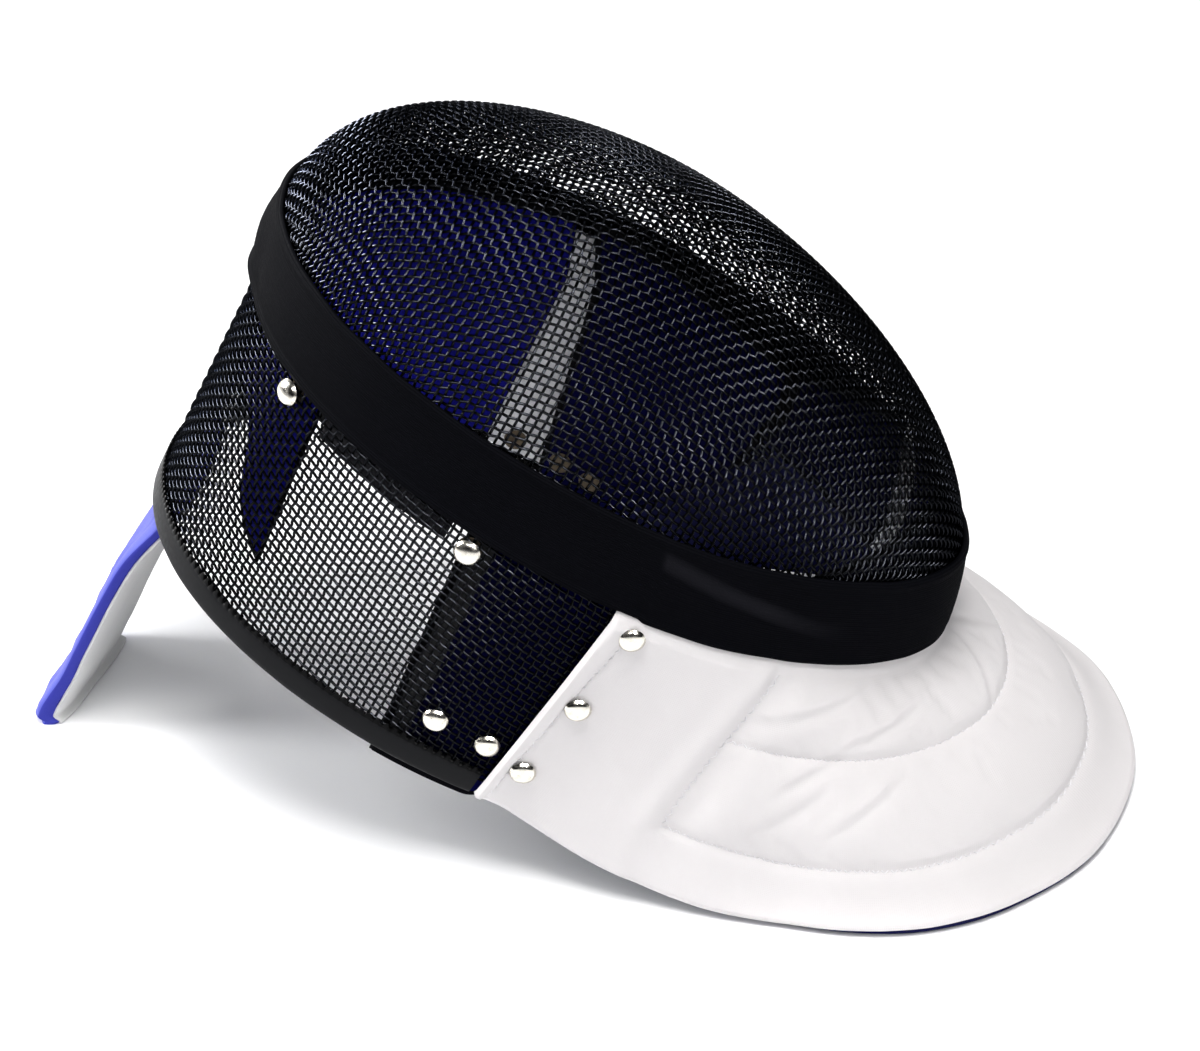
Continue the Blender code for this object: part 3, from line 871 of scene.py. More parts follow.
def band_point(u, v, band):
    """A point of the band's outer face: u runs round it, v from its rear edge to its front edge."""
    degrees = 360.0 * u
    turn = math.radians(degrees)
    sway = Vector((math.cos(turn) * 4.0, math.sin(turn) * 4.0, 0.0))
    height = BAND_REAR + BAND_WIDTH * v
    height += 0.00045 * noise.noise(sway * 1.7 + Vector((0.0, 0.0, 3.0 * v)))
    rib = math.cos(2.0 * math.pi * v * round(BAND_WIDTH / band.rib_pitch))
    edge = min(v, 1.0 - v) * BAND_WIDTH
    lift = BAND_INNER_LIFT + band.wall + band.rib_height * rib - 0.0006 * smooth_step(0.0012, 0.0, edge)
    lift += 0.0006 * smooth_step(0.0005, 0.0022, edge) * (1.0 - smooth_step(0.0022, 0.0042, edge))
    lift += 0.0003 * noise.noise(sway * 1.3 + Vector((7.0, 0.0, 2.0 * v)))
    step = smooth_step(band.overlap_start, band.overlap_start + 0.5, degrees)
    lift += 0.0009 * step * (1.0 - smooth_step(band.overlap_start + 8.0, band.overlap_end, degrees))
    from_crown = min(degrees, 360.0 - degrees) * (1.0 if degrees < 180.0 else -1.0)
    loose = smooth_step(-26.0, -4.0, from_crown) * smooth_step(13.0, 2.0, from_crown)
    lift += loose * 0.0028 * smooth_step(0.95, 0.45, v)
    return shell_point(degrees, height, lift)


def elastic_shader(band):
    """Ribbed elastic: fine ribs along the UV map with painted shading that lightens their crests, and a
    painted highlight along the ridge where the band's end lies beneath.
    """
    shade = (0.0022, 0.0024, 0.0044)
    elastic = cloth_shader("black_elastic", band.color, shade, 0.75, 1900.0, 0.3, Specular_IOR_Level=0.02)
    place = elastic.node("ShaderNodeSeparateXYZ", None, Vector=elastic.coordinates.outputs["UV"])
    along, across = place.outputs["X"], place.outputs["Y"]
    ripple = elastic.math("MULTIPLY", elastic.noise(45.0, 2.0), 0.0006)
    phase = elastic.math("MULTIPLY", elastic.math("ADD", across, ripple), 2.0 * math.pi / band.fine_rib_pitch)
    ribs = elastic.range(elastic.math("SINE", phase), 0.0, 1.0, -1.0, 1.0)
    ridge = elastic.math("SUBTRACT", across, elastic.range(along, *RIDGE_ACROSS, *RIDGE_ALONG))
    ridge = elastic.math("MULTIPLY", ridge, 1.0 / RIDGE_HALF_WIDTH)
    ridge = elastic.range(elastic.math("MULTIPLY", ridge, ridge), 1.0, 0.0, 0.0, 1.0)
    for edge, soft in RIDGE_FADES:
        ridge = elastic.math("MULTIPLY", ridge, elastic.range(along, 0.0, 1.0, edge, edge + soft))
    base = elastic.surface.inputs["Base Color"].links[0].from_socket
    # Painted shading of the ribs: their crests are painted lighter than their grooves.
    painted_rib_shading = elastic.blend(elastic.math("MULTIPLY", ribs, 0.55), base, (0.0060, 0.0063, 0.0088))
    # Painted highlight: the ridge's mask lightens the band towards a pale grey where the band's end lies
    # beneath.
    wear_and_highlight = elastic.math("MULTIPLY", ridge, 0.9)
    elastic.set("Base Color", elastic.blend(wear_and_highlight, painted_rib_shading, (0.014, 0.014, 0.018)))
    before = elastic.surface.inputs["Normal"].links[0].from_socket
    elastic.bump(ribs, 0.5, 0.0002, Normal=before)
    return elastic.material


class MASK_OT_seam_band(bpy.types.Operator):
    """Lay the ribbed elastic band over the joint of the two meshes"""

    bl_idname = "mask.seam_band"
    bl_label = "Seam Band"

    def execute(self, context):
        band = context.scene.mask_band
        place = lambda u, v: band_point(u, v, band)
        mesh = grid_mesh("seam_band", 330, 52, place, lambda u, v: (BAND_LENGTH * u, BAND_WIDTH * v))
        elastic = elastic_shader(band)
        piece = finish_piece("elastic_band", mesh, elastic, "black_elastic", "seam_band", sharp=0.0)
        add_wall(piece, -band.wall)
        return {"FINISHED"}


class MASK_PG_edging(bpy.types.PropertyGroup):
    lump_pitch: length_setting("Lump pitch", "Distance between the lumps over the wires' ends", 0.0031)
    lump_height: length_setting("Lump height", "Height of the lumps", 0.0007)
    color: color_setting("Coat", "Colour of the edging", (0.0045, 0.0050, 0.0065))


def edging_point(u, turn, edging):
    """A point of the edging's skin: u runs along it, turn round its section."""
    degrees = EDGING_END_ANGLE * (2.0 * u - 1.0)
    across = math.cos(2.0 * math.pi * turn)
    out = math.sin(2.0 * math.pi * turn)
    across = math.copysign(abs(across) ** EDGING_ROUNDING[0], across)
    out = math.copysign(abs(out) ** EDGING_ROUNDING[1], out)
    height = side_border(degrees) - 0.0002 - EDGING_WIDTH * (0.5 - 0.5 * across)
    lift = EDGING_LIFT - EDGING_WALL / 2.0 + out * EDGING_WALL / 2.0
    length = EDGING_LENGTH * u
    if out > 0.0:
        beat = 0.5 + 0.5 * math.cos(2.0 * math.pi * length / edging.lump_pitch)
        lump = smooth_step(0.25, 0.6, beat) * smooth_step(0.84, 0.96, across)
        lift += edging.lump_height * lump
        height += 0.0024 * lump
    height += 0.0002 * noise.noise(Vector((length * 60.0, across, out)))
    return shell_point(degrees, height, lift)


class MASK_OT_rim_edging(bpy.types.Operator):
    """Mould the coated edging along the rear border of the side mesh"""

    bl_idname = "mask.rim_edging"
    bl_label = "Rim Edging"

    def execute(self, context):
        edging = context.scene.mask_edging
        place = lambda u, v: edging_point(u, v, edging)
        unrolled = lambda u, v: (EDGING_LENGTH * u, EDGING_GIRTH * v)
        mesh = grid_mesh("rim_edging", 760, 24, place, unrolled, closed=True)
        coat = Shader("black_vinyl_coat", edging.color, 0.4, 0.0, Specular_IOR_Level=0.14)
        grain = coat.noise(500.0, 3.0)
        coat.set("Roughness", coat.range(grain, 0.36, 0.5))
        patches = coat.range(coat.noise(25.0), 0.0, 1.0)
        coat.set("Base Color", coat.blend(patches, edging.color, (0.008, 0.0085, 0.0100)))
        coat.bump(grain, 0.2, 0.0002)
        lumps = Shader("black_lump_coat", (0.0012, 0.0013, 0.0018), 0.5, 0.0, Specular_IOR_Level=0.1)
        lumps.set("Roughness", lumps.range(lumps.noise(500.0, 3.0), 0.42, 0.6))
        mesh.materials.append(coat.material)
        mesh.materials.append(lumps.material)
        for face, spot in face_spots(mesh):
            turn = spot.y / EDGING_GIRTH
            face.material_index = int(turn > EDGING_LUMP_TURNS[0] or turn < EDGING_LUMP_TURNS[1])
        finish_piece("coated_edging", mesh, coat.material, "black_vinyl", "rim_edging")
        return {"FINISHED"}


class MASK_PG_lining(bpy.types.PropertyGroup):
    binding: length_setting("Binding", "Width of the binding round a pad", 0.0026)
    puff: length_setting("Puff", "How far a pad's middle swells past its binding", 0.0009)
    color: color_setting("Crown pad cloth", "Colour of the crown pad", (0.0012, 0.0016, 0.32))
    navy_color: color_setting("Cheek pad cloth", "Colour of the cheek pads", (0.0009, 0.0011, 0.060))
    # The chin pad's colour is the navy cloth darkened: painted shade for the shade inside the chin.
    shaded_navy_color: color_setting("Chin pad cloth", "Colour of the chin pad", (0.0007, 0.0008, 0.032))
    # Pale strips: painted light, pale sheets where light shows through gaps between the pads.
    painted_light_color: color_setting("Pale strip", "Colour of the two pale strips", (0.92, 0.92, 0.93))
    binding_color: color_setting("Binding cloth", "Colour of the pads' bindings", (0.003, 0.003, 0.006))
    felt_color: color_setting("Felt", "Colour of the felt on the cheek pads' ends", (0.085, 0.087, 0.090))


def crown_pad_edges(u):
    """Angle at the middle height, front and rear height, and slant of the crown pad at u."""
    degrees, front, rear = table_row(CROWN_PAD_TABLE, u * (len(CROWN_PAD_TABLE) - 1))
    outward = smooth_step(0.75, 1.0, abs(2.0 * u - 1.0)) * math.copysign(1.0, u - 0.5)
    return lambda v: (degrees + outward * CROWN_PAD_END_SLANT * (0.5 - v), rear + (front - rear) * v)


def cheek_pad_edges(side, upper_front, upper_rear, rise):
    """Edges of a cheek pad: its upper edge lies between two angles, and its front edge rises towards it."""

    def edges(u):
        across = u if side > 0 else 1.0 - u

        def spot(v):
            upper = upper_rear + (upper_front - upper_rear) * v
            degrees = upper + (CHEEK_PAD_LOWER_END - upper) * across
            covered = 1.0 - smooth_step(*EDGING_COVER, degrees)
            rear = side_border(degrees) - covered * (EDGING_WIDTH + PAD_BINDING_OVERHANG)
            front = CHEEK_PAD_FRONT + rise * smooth_step(CHEEK_PAD_LOWER_END, CHEEK_PAD_RISE_END, degrees)
            return side * degrees, rear + (front - rear) * v

        return spot

    return edges


def strip_edges(u):
    """Pale strip that joins the crown pad's left end to the left cheek pad: painted light, a pale sheet where
    light shows through the gap between them.
    """

    def spot(v):
        height = STRIP_REAR + STRIP_WIDTH * v
        crown, cheek = (
            degrees + gain * (height + depth) for degrees, gain, depth in (STRIP_CROWN_EDGE, STRIP_CHEEK_EDGE)
        )
        return cheek + (crown - cheek) * (1.0 - u), height

    return spot


def chin_pad_edges(u):
    """Chin pad: its front edge rises into the dome towards the middle."""
    rise = math.sin(math.pi * u) ** 0.8 if 0.0 < u < 1.0 else 0.0
    front = CHEEK_PAD_FRONT + CHIN_PAD_RISE * rise
    degrees = CHIN_PAD_START + CHIN_PAD_SPAN * u
    return lambda v: (degrees, -CHIN_BORDER_DEPTH + (front + CHIN_BORDER_DEPTH) * v)


def pad_spot(turn):
    """Share of a pad's width at a turn round its section."""
    across = math.cos(2.0 * math.pi * turn)
    return 0.5 + 0.5 * math.copysign(abs(across) ** 0.8, across)


def pad_edge(u, turn, lengths):
    """Distance in metres from a pad's nearest edge."""
    v = pad_spot(turn)
    return min(min(u, 1.0 - u) * lengths[0], min(v, 1.0 - v) * lengths[1])


def pad_skin(edges, lengths, lining, rolled):
    """Place of a pad's skin: u runs along it, turn round its section, and its middle swells inward."""
    length, width = lengths
    bound = lining.binding

    def place(u, turn):
        v = pad_spot(turn)
        edge = pad_edge(u, turn, lengths)
        round_off = math.sqrt(max(1.0 - (1.0 - min(edge / PAD_ROUNDING, 1.0)) ** 2, 0.0))
        inner = turn > 0.5
        thick = PAD_WALL * 0.5 * (0.5 + 0.5 * smooth_step(bound * 0.8, bound * 1.5, edge))
        thick *= 0.05 + 0.95 * round_off
        thick += 0.0003 * smooth_step(0.0, 0.001, edge) * smooth_step(bound, bound * 0.8, edge)
        degrees, height = edges(u)(v)
        lift = PAD_LIFT - PAD_WALL / 2.0 + (-thick if inner else thick)
        if inner:
            lumps = noise.noise(Vector((u * length, v * width, 0.3)) * 42.0)
            lift -= lining.puff * smooth_step(bound, bound * 4.0, edge) * (0.7 + 0.6 * lumps)
        if rolled:
            lift += PAD_ROLL * smooth_step(PAD_BINDING_OVERHANG, 0.0, v * width)
        return shell_point(degrees, height, lift)

    return place


def bind_edges(mesh, lengths, binding, felt_end, pale):
    """Gives a pad's faces their cloth: pale all over for a lobe of painted light, or bound edges and felt
    along one outer end.
    """
    for face, spot in face_spots(mesh):
        u = spot.x / lengths[0]
        turn = spot.y / (2.0 * lengths[1])
        if pale:
            face.material_index = 3
        elif pad_edge(u, turn, lengths) < binding:
            face.material_index = 1
        elif felt_end is not None and turn < 0.5 and abs(u - felt_end) * lengths[0] < PAD_FELT_WIDTH:
            face.material_index = 2


def pad_mesh(name, rows, width, lobes, lining, cloths):
    """Mesh of one pad, made of its closed lobes."""
    work = bmesh.new()
    for edges, start, end, columns, length, pale in lobes:
        size = (length, width)
        lobe = lambda u, edges=edges, start=start, end=end: edges(start + (end - start) * u)
        place = pad_skin(lobe, size, lining, name.startswith("cheek"))
        unrolled = lambda u, v, size=size: (size[0] * u, 2.0 * size[1] * v)
        mesh = grid_mesh(name, columns, rows, place, unrolled, closed=True)
        for cloth in cloths:
            mesh.materials.append(cloth)
        bind_edges(mesh, size, lining.binding, FELT_ENDS.get(name), pale)

        def loose(x, y, size=size):
            turn = y / (2.0 * size[1])
            return turn > 0.5 and pad_edge(x / size[0], turn, size) > 1.3 * lining.binding

        if not pale:
            blow_up(mesh, loose, *PAD_CLOTH)
        work.from_mesh(mesh)
    work.to_mesh(mesh)
    work.free()
    return mesh


# Pads: rows, width (m), then each lobe's edges, start, end, columns, length (m) and whether it is pale, a
# lobe of painted light where light shows through a gap
PAD_TABLE = (
    (
        "crown_pad",
        44,
        0.07,
        (
            (crown_pad_edges, 0.0, 1.0, 130, 0.26, False),
            (strip_edges, 0.0, 1.0, 8, 0.012, True),
        ),
    ),
    ("cheek_pad_right", 60, 0.11, ((cheek_pad_edges(1.0, 72.2, 78.0, 0.0), 0.0, 1.0, 64, 0.09, False),)),
    ("cheek_pad_left", 60, 0.11, ((cheek_pad_edges(-1.0, 78.4, 92.0, 0.0130), 0.0, 1.0, 56, 0.08, False),)),
    (
        "chin_pad",
        40,
        0.05,
        (
            (chin_pad_edges, 0.0, 0.739, 90, 0.177, False),
            # Narrow pale lobe: painted light where light shows through the slit in the chin pad.
            (chin_pad_edges, 0.7405, 0.7645, 6, 0.006, True),
            (chin_pad_edges, 0.766, 1.0, 30, 0.056, False),
        ),
    ),
)
FELT_ENDS = {"cheek_pad_right": 0.0, "cheek_pad_left": 1.0}


class MASK_OT_lining(bpy.types.Operator):
    """Sew the padded lining inside the mesh"""

    bl_idname = "mask.lining"
    bl_label = "Lining"

    def execute(self, context):
        lining = context.scene.mask_lining
        finish = (0.9, 1400.0, 0.3)
        dull = {"Specular_IOR_Level": 0.05}
        bright = cloth_shader("blue_pad_cloth", lining.color, (0.0008, 0.0010, 0.19), *finish)
        navy = cloth_shader("navy_pad_cloth", lining.navy_color, (0.0008, 0.0010, 0.04), *finish, **dull)
        tint = (0.002, 0.002, 0.003)
        binding = cloth_shader("black_binding", lining.binding_color, tint, 0.8, 1500.0, 0.3, **dull)
        felt = cloth_shader("grey_felt", lining.felt_color, (0.035, 0.036, 0.038), 0.95, 900.0, 0.6)
        # The pale cloth stands in for light seen through gaps between the pads: painted light.
        pale = cloth_shader("painted_light_strip", lining.painted_light_color, (0.84, 0.84, 0.86), 0.9, 1500.0, 0.3)
        # Chin pad: a darker copy of the navy cloth, painted shade.
        dark = cloth_shader("shaded_navy_pad_cloth", lining.shaded_navy_color, (0.0005, 0.0006, 0.018), *finish, **dull)
        for name, rows, width, lobes in PAD_TABLE:
            cloth = {"crown_pad": bright, "chin_pad": dark}.get(name, navy)
            cloths = [kind.material for kind in (cloth, binding, felt, pale)]
            mesh = pad_mesh(name, rows, width, lobes, lining, cloths)
            pad = finish_piece(f"{name}_cushion", mesh, cloth.material, "navy_cloth", name, sharp=0.0)

        def tape(u, v):
            degrees = TAPE_ANGLES[0] + TAPE_ANGLES[1] * u
            wave = 0.0002 * math.sin(40.0 * u)
            return shell_point(degrees, TAPE_REAR + TAPE_WIDTH * v, PAD_LIFT + wave)

        mesh = grid_mesh("lining_tape", 30, 8, tape, lambda u, v: (TAPE_LENGTH * u, TAPE_WIDTH * v))
        black = bpy.data.materials.get("black_elastic")
        piece = finish_piece("black_tape", mesh, black, "black_elastic", "lining_tape")
        add_wall(piece, -TAPE_WALL)
        return {"FINISHED"}


class MASK_PG_bib(bpy.types.PropertyGroup):
    color: color_setting("Outer cloth", "Colour of the bib's outer cloth", (0.70, 0.68, 0.685))
    lining_color: color_setting("Lining", "Colour of the bib's underside", (0.008, 0.010, 0.10))
    stitch_pitch: length_setting("Stitch pitch", "Length of one leg of a zigzag stitch", 0.0021)
    stitch_width: length_setting("Stitch width", "Width of the zigzag", 0.0016)
    thread_radius: length_setting("Thread radius", "Half the thickness of the thread", 0.00024)
    wrinkle: length_setting("Wrinkle", "Depth of the soft wrinkles", 0.0006)


def bib_top(degrees):
    """Height of the bib's upper edge, lower at the chin, where the bib stands out under the band."""
    chin = smooth_step(80.0, 35.0, abs(180.0 - degrees))
    return BIB_TOP_SIDE + (BIB_TOP_CHIN - BIB_TOP_SIDE) * chin


def bib_fall(degrees, w, hem, foot, lying):
    """A point on the straight fall from the band, or on the rounded knee and the foot on the floor."""
    top = MASK_PLACE @ shell_point(degrees, bib_top(degrees), BIB_SEAT)
    fall = top - hem
    inward = Vector((fall.x, fall.y, 0.0)).normalized()
    knee = hem + inward * foot + fall * BIB_FOOT_SHARE * (1.0 - lying)
    turn = 1.0 - 2.2 * BIB_FOOT_SHARE
    start = top.lerp(knee, turn / (1.0 - BIB_FOOT_SHARE))
    if w <= turn:
        return MASK_INVERSE @ top.lerp(start, w / turn)
    share = (w - turn) / (1.0 - turn)
    return MASK_INVERSE @ start.lerp(knee, share).lerp(knee.lerp(hem, share), share)


def quilt_start(w):
    """Angle of the seam that closes the quilted channels, which lies further back towards the hem."""
    return QUILT_FOOT_ANGLE + QUILT_SLANT * (1.0 - w) ** QUILT_SLANT_POWER


def bib_rise(degrees, w, bulge):
    """How far the bib stands out from its straight fall: its bulge and its quilted channels."""
    rise = bulge * math.sin(math.pi * w)
    start = quilt_start(w)
    quilted = smooth_step(start, start + QUILT_RAMP, 180.0 - abs(180.0 - degrees))
    for low, high, puff in zip(QUILT_SEAMS, QUILT_SEAMS[1:], QUILT_PUFFS):
        if low < w < high:
            rise += quilted * puff * math.sin(math.pi * (w - low) / (high - low)) ** 0.7
    return rise


BIB_LEFT_HALF = tuple((360.0 - row[0], row[1], -row[2], *row[3:]) for row in BIB_TABLE[-2::-1])
BIB_SECTIONS = BIB_TABLE + BIB_LEFT_HALF
BIB_FULL_FOOT = max(row[4] for row in BIB_TABLE)


def bib_section(u):
    """Row of the bib's sections at u."""
    return table_row(BIB_SECTIONS, (len(BIB_SECTIONS) - 1) * u)


def bib_base(u, w):
    """The bib's underside before its rise: u runs from its right edge to its left, w from band to hem."""
    degrees, hem_x, hem_y, hem_z, foot, bulge = bib_section(u)
    foot = max(foot, 0.0)
    lying = min(foot / BIB_FULL_FOOT, 1.0)
    point = bib_fall(degrees, w, Vector((hem_x, -hem_y, max(hem_z, 0.0))), foot, lying)
    from_chin = abs(180.0 - degrees)
    snug = smooth_step(BIB_SNUG_END, BIB_SNUG_START, from_chin)
    sweep = math.copysign(BIB_EDGE_SWEEP * w, 180.0 - degrees)
    height = bib_top(degrees) + (BIB_EDGE_REAR - bib_top(degrees)) * w
    on_mesh = shell_point(degrees - sweep, height, BIB_SEAT)
    return point.lerp(on_mesh, snug), bib_rise(degrees, w, bulge) * (1.0 - snug)


def bib_normal(u, w):
    step = 0.004
    across = bib_base(min(u + step, 1.0), w)[0] - bib_base(max(u - step, 0.0), w)[0]
    down = bib_base(u, min(w + step, 1.0))[0] - bib_base(u, max(w - step, 0.0))[0]
    return down.cross(across).normalized()


def bib_angle(u):
    """How far round the shell the bib's section at u starts, measured on the near half, in degrees."""
    return 180.0 - abs(180.0 - bib_section(u)[0])


def bib_u(degrees):
    """Where along the bib's near half the section that starts at an angle lies."""
    low, high = 0.0, 0.5
    for _ in range(20):
        middle = (low + high) / 2.0
        low, high = (middle, high) if bib_angle(middle) < degrees else (low, middle)
    return low


def edge_reach(w):
    """Rough length in metres that a step of 1 in u has beside the bib's leading edges."""
    return 0.27 + 0.27 * w


def edge_distance(u, w):
    """Rough distance in metres from the nearer of the bib's two leading edges."""
    return min(u, 1.0 - u) * edge_reach(w)


def quilt_distance(u, w):
    """Rough distance in metres past the seam that closes the channels, below 0 in front of it."""
    return (bib_angle(u) - quilt_start(w)) * (0.0021 + 0.0012 * w)


def fold_relief(u, w):
    """Depth of the soft folds at a point of the bib."""
    relief = 0.0
    for u_start, w_start, u_end, w_end, depth, half_width in FOLD_TABLE:
        start = Vector((u_start * BIB_LENGTH, w_start * BIB_DEPTH))
        run = Vector((u_end * BIB_LENGTH, w_end * BIB_DEPTH)) - start
        offset = Vector((u * BIB_LENGTH, w * BIB_DEPTH)) - start
        share = offset.dot(run) / run.length_squared
        if -0.3 < share < 1.3:
            across = (offset.x * run.y - offset.y * run.x) / run.length / half_width
            fade = smooth_step(-0.3, 0.2, share) * smooth_step(1.3, 0.7, share)
            relief += 0.75 * depth * fade * (0.7 * math.exp(-((across - 1.3) ** 2)) - math.exp(-(across**2)))
    return relief


def bib_detail(u, w, bib):
    """Small relief of the bib's outer cloth: seams, puckers, folds, bound edges and a rounded hem."""
    along = u * BIB_LENGTH
    down = w * BIB_DEPTH
    past = quilt_distance(u, w)
    quilted = smooth_step(-0.0005, 0.0005, past)
    pucker = 0.5 + 0.5 * noise.noise(Vector((along * 210.0, down * 210.0, 0.0)))
    relief = 0.0
    for seam in QUILT_SEAMS[1:3]:
        near = (w - seam) * BIB_DEPTH / 0.0025
        relief -= quilted * (0.0005 + 0.0003 * pucker) * math.exp(-(near**2))
    closed = smooth_step(QUILT_SEAMS[2] + 0.03, QUILT_SEAMS[2], w)
    relief -= closed * (0.0005 + 0.0003 * pucker) * math.exp(-((past / 0.0026) ** 2))
    relief += (0.0006 + 0.0006 * closed) * math.exp(-(((past + 0.0056) / 0.0040) ** 2))
    relief -= 0.0010 * closed * math.exp(-(((past - 0.0050) / 0.0050) ** 2))
    relief += fold_relief(u, w)
    slanted = Vector((along * 34.0 - down * 20.0, down * 12.0 + along * 5.0, 1.7))
    relief += bib.wrinkle * (0.25 + 0.75 * quilted) * noise.noise(slanted)
    relief += 0.00030 * noise.noise(Vector((along * 95.0 - down * 60.0, down * 40.0, 4.1)))
    edge = edge_distance(u, w)
    bound = smooth_step(BIB_BINDING + 0.0006, BIB_BINDING - 0.0012, edge)
    relief += 0.0012 * bound * smooth_step(-0.0008, 0.0036, edge) - 0.0018 * smooth_step(0.0022, 0.0, edge)
    relief -= (0.0003 + 0.0004 * pucker) * math.exp(-(((edge - BIB_BINDING) / 0.0014) ** 2))
    hem = (1.0 - w) * BIB_DEPTH
    relief -= 0.0010 * smooth_step(0.0020, 0.0, hem)
    return relief * smooth_step(0.0, 0.02, w)


def bib_point(u, w, lift):
    point, rise = bib_base(u, w)
    return point + bib_normal(u, w) * (rise + lift)


def bib_loose(u, v):
    """Whether the bib's cloth is free at a point: inside its quilted channels, away from their seams."""
    w = 1.0 - v
    past = quilt_distance(u, w)
    near_seam = min(abs(w - seam) for seam in QUILT_SEAMS[1:3]) * BIB_DEPTH < 0.0024
    return 0.06 < w < QUILT_SEAMS[2] and past > 0.0015 and not near_seam


def bib_outer(u, w, bib, lift=0.0):
    """A point of the bib's outer face, whose top edge turns in under the band."""
    point = bib_point(u, w, BIB_LIFT + BIB_WALL + bib_detail(u, w, bib) + lift)
    tucked = smooth_step(BIB_TUCK, 0.0, w)
    if tucked:
        under_band = shell_point(bib_section(u)[0], BAND_REAR + 0.0012, 0.0006)
        point = point.lerp(under_band, tucked)
    return point


def zigzag(seam, bib):
    """Points of a zigzag thread along a seam, where seam(s) gives the seam's (u, w) for s from 0 to 1."""
    line = lambda s: bib_point(*seam(min(max(s, 0.0), 1.0)), 0.0)
    spots = [line(k / 60.0) for k in range(61)]
    length = sum((end - start).length for start, end in zip(spots, spots[1:]))
    count = round(length / bib.stitch_pitch)
    points = []
    for k in range(2 * count + 1):
        share = k / (2.0 * count)
        swing = (0.0, 1.0, 0.0, -1.0)[k % 4] * bib.stitch_width / 2.0
        lift = 0.00028 if k % 2 == 0 else -0.00008
        ahead = line(share + 0.002) - line(share - 0.002)
        across = ahead.cross(bib_normal(*seam(share))).normalized()
        points.append(bib_outer(*seam(share), bib, lift) + across * swing)
    return points


def bib_seams():
    """The sewn lines: both channel seams, the two seams that close the channels, and the bindings' seams."""
    seams = []
    for w in QUILT_SEAMS[1:3]:
        start = bib_u(quilt_start(w))
        seams.append(lambda s, w=w, start=start: (start + (1.0 - 2.0 * start) * s, w))
    for side in (0.0, 1.0):

        def closing(s, side=side):
            w = QUILT_SEAMS[0] + (QUILT_SEAMS[2] - QUILT_SEAMS[0]) * s
            return abs(side - bib_u(quilt_start(w))), w

        def binding(s, side=side):
            w = 0.05 + 0.93 * s
            return abs(side - BIB_BINDING / edge_reach(w)), w

        seams += [closing, binding]
    return seams


def add_stitches(bib):
    lines = [zigzag(seam, bib) for seam in bib_seams()]
    mesh = tube_mesh("bib_stitches", lines, radius=bib.thread_radius)
    thread = Shader("white_thread", (0.78, 0.77, 0.78), 0.6, Sheen_Weight=0.2)
    thread.bump(thread.noise(2500.0, 1.0), 0.3, 0.0001)
    tone = thread.range(thread.noise(800.0), 0.0, 1.0)
    thread.set("Base Color", thread.blend(tone, (0.78, 0.77, 0.78), (0.62, 0.61, 0.64)))
    return finish_piece("bib_stitches", mesh, thread.material, "white_cloth")


class MASK_OT_bib(bpy.types.Operator):
    """Drape the quilted bib with its lining and stitches"""

    bl_idname = "mask.bib"
    bl_label = "Bib"

    def execute(self, context):
        bib = context.scene.mask_bib
        metres = lambda u, v: (BIB_LENGTH * u, BIB_DEPTH * v)
        stitches = add_stitches(bib)
        calm = lambda u, v: bib_outer(u, 1.0 - v, bib)
        blown = blown_sheet(150, 50, calm, bib_loose, *BIB_CLOTH)
        mesh = grid_mesh("bib", 300, 100, lambda u, v: calm(u, v) + blown(u, v), metres)
        white = cloth_shader("white_bib_cloth", bib.color, (0.67, 0.65, 0.655), 0.85, 1300.0, 0.22)
        piece = finish_piece("bib_cloth", mesh, white.material, "white_cloth", "bib")
        add_wall(piece, -(BIB_WALL - 0.0003), 0.0006)

        def underside(u, v):
            u = LINING_INSET + (1.0 - 2.0 * LINING_INSET) * u
            w = LINING_INSET + LINING_SPAN * (1.0 - v)
            return bib_point(u, w, BIB_LINING_WALL)

        mesh = grid_mesh("bib_lining", 120, 40, underside, metres)
        blue = cloth_shader("blue_lining_cloth", bib.lining_color, (0.006, 0.007, 0.07), 0.8, 1300.0, 0.22)
        piece = finish_piece("bib_underside", mesh, blue.material, "blue_cloth", "bib_lining")
        add_wall(piece, -BIB_LINING_WALL * 0.95)
        return {"FINISHED"}


class MASK_PG_tongue(bpy.types.PropertyGroup):
    pucker: length_setting("Pucker", "Depth of the puckers at the tongue's tip", 0.0010)
    color: color_setting("Tongue cloth", "Colour of the tongue's blue cloth", (0.13, 0.15, 0.60))
    # The tongue's sides are painted this deeper blue: painted shade on the sides that face away from the
    # light.
    shaded_side_color: color_setting("Gusset", "Colour of the tongue's sides", (0.060, 0.068, 0.42))
    facing_color: color_setting("Facing", "Colour of the tongue's inner facing", (0.70, 0.70, 0.69))


def tongue_crest(x, row):
    """Height z of the tongue's outer face at x: bowed like the crown at the root, then twisted."""
    bowed = row[1] - TONGUE_BOW * (x - row[2]) ** 2
    near_edge = row[3] + TONGUE_WIDTH / 2.0
    straight = row[1] + TONGUE_NEAR_SLOPE * (near_edge - row[2]) - TONGUE_TWIST * (near_edge - x)
    return bowed + (straight - bowed) * smooth_step(*TONGUE_TWIST_HEIGHTS, row[0])


def floor_height(z):
    """Height over the seam plane at which a point of the mask's frame meets the floor."""
    return -(SEAM_CENTRE.z + z * math.sin(FACE_TILT)) / math.cos(FACE_TILT)


def tongue_reach(across):
    """Share of half the tongue's thickness that is left at across, which runs from -1 to 1 over its width."""
    return (1.0 - min(abs(across), 1.0) ** TONGUE_SQUARENESS) ** (1.0 / TONGUE_SQUARENESS)


def tongue_section(turn):
    """Across and reach of the tongue's section at a turn round it; its inner face reaches below 0."""
    across = math.cos(2.0 * math.pi * turn)
    return across, math.copysign(tongue_reach(across), 0.5 - turn)


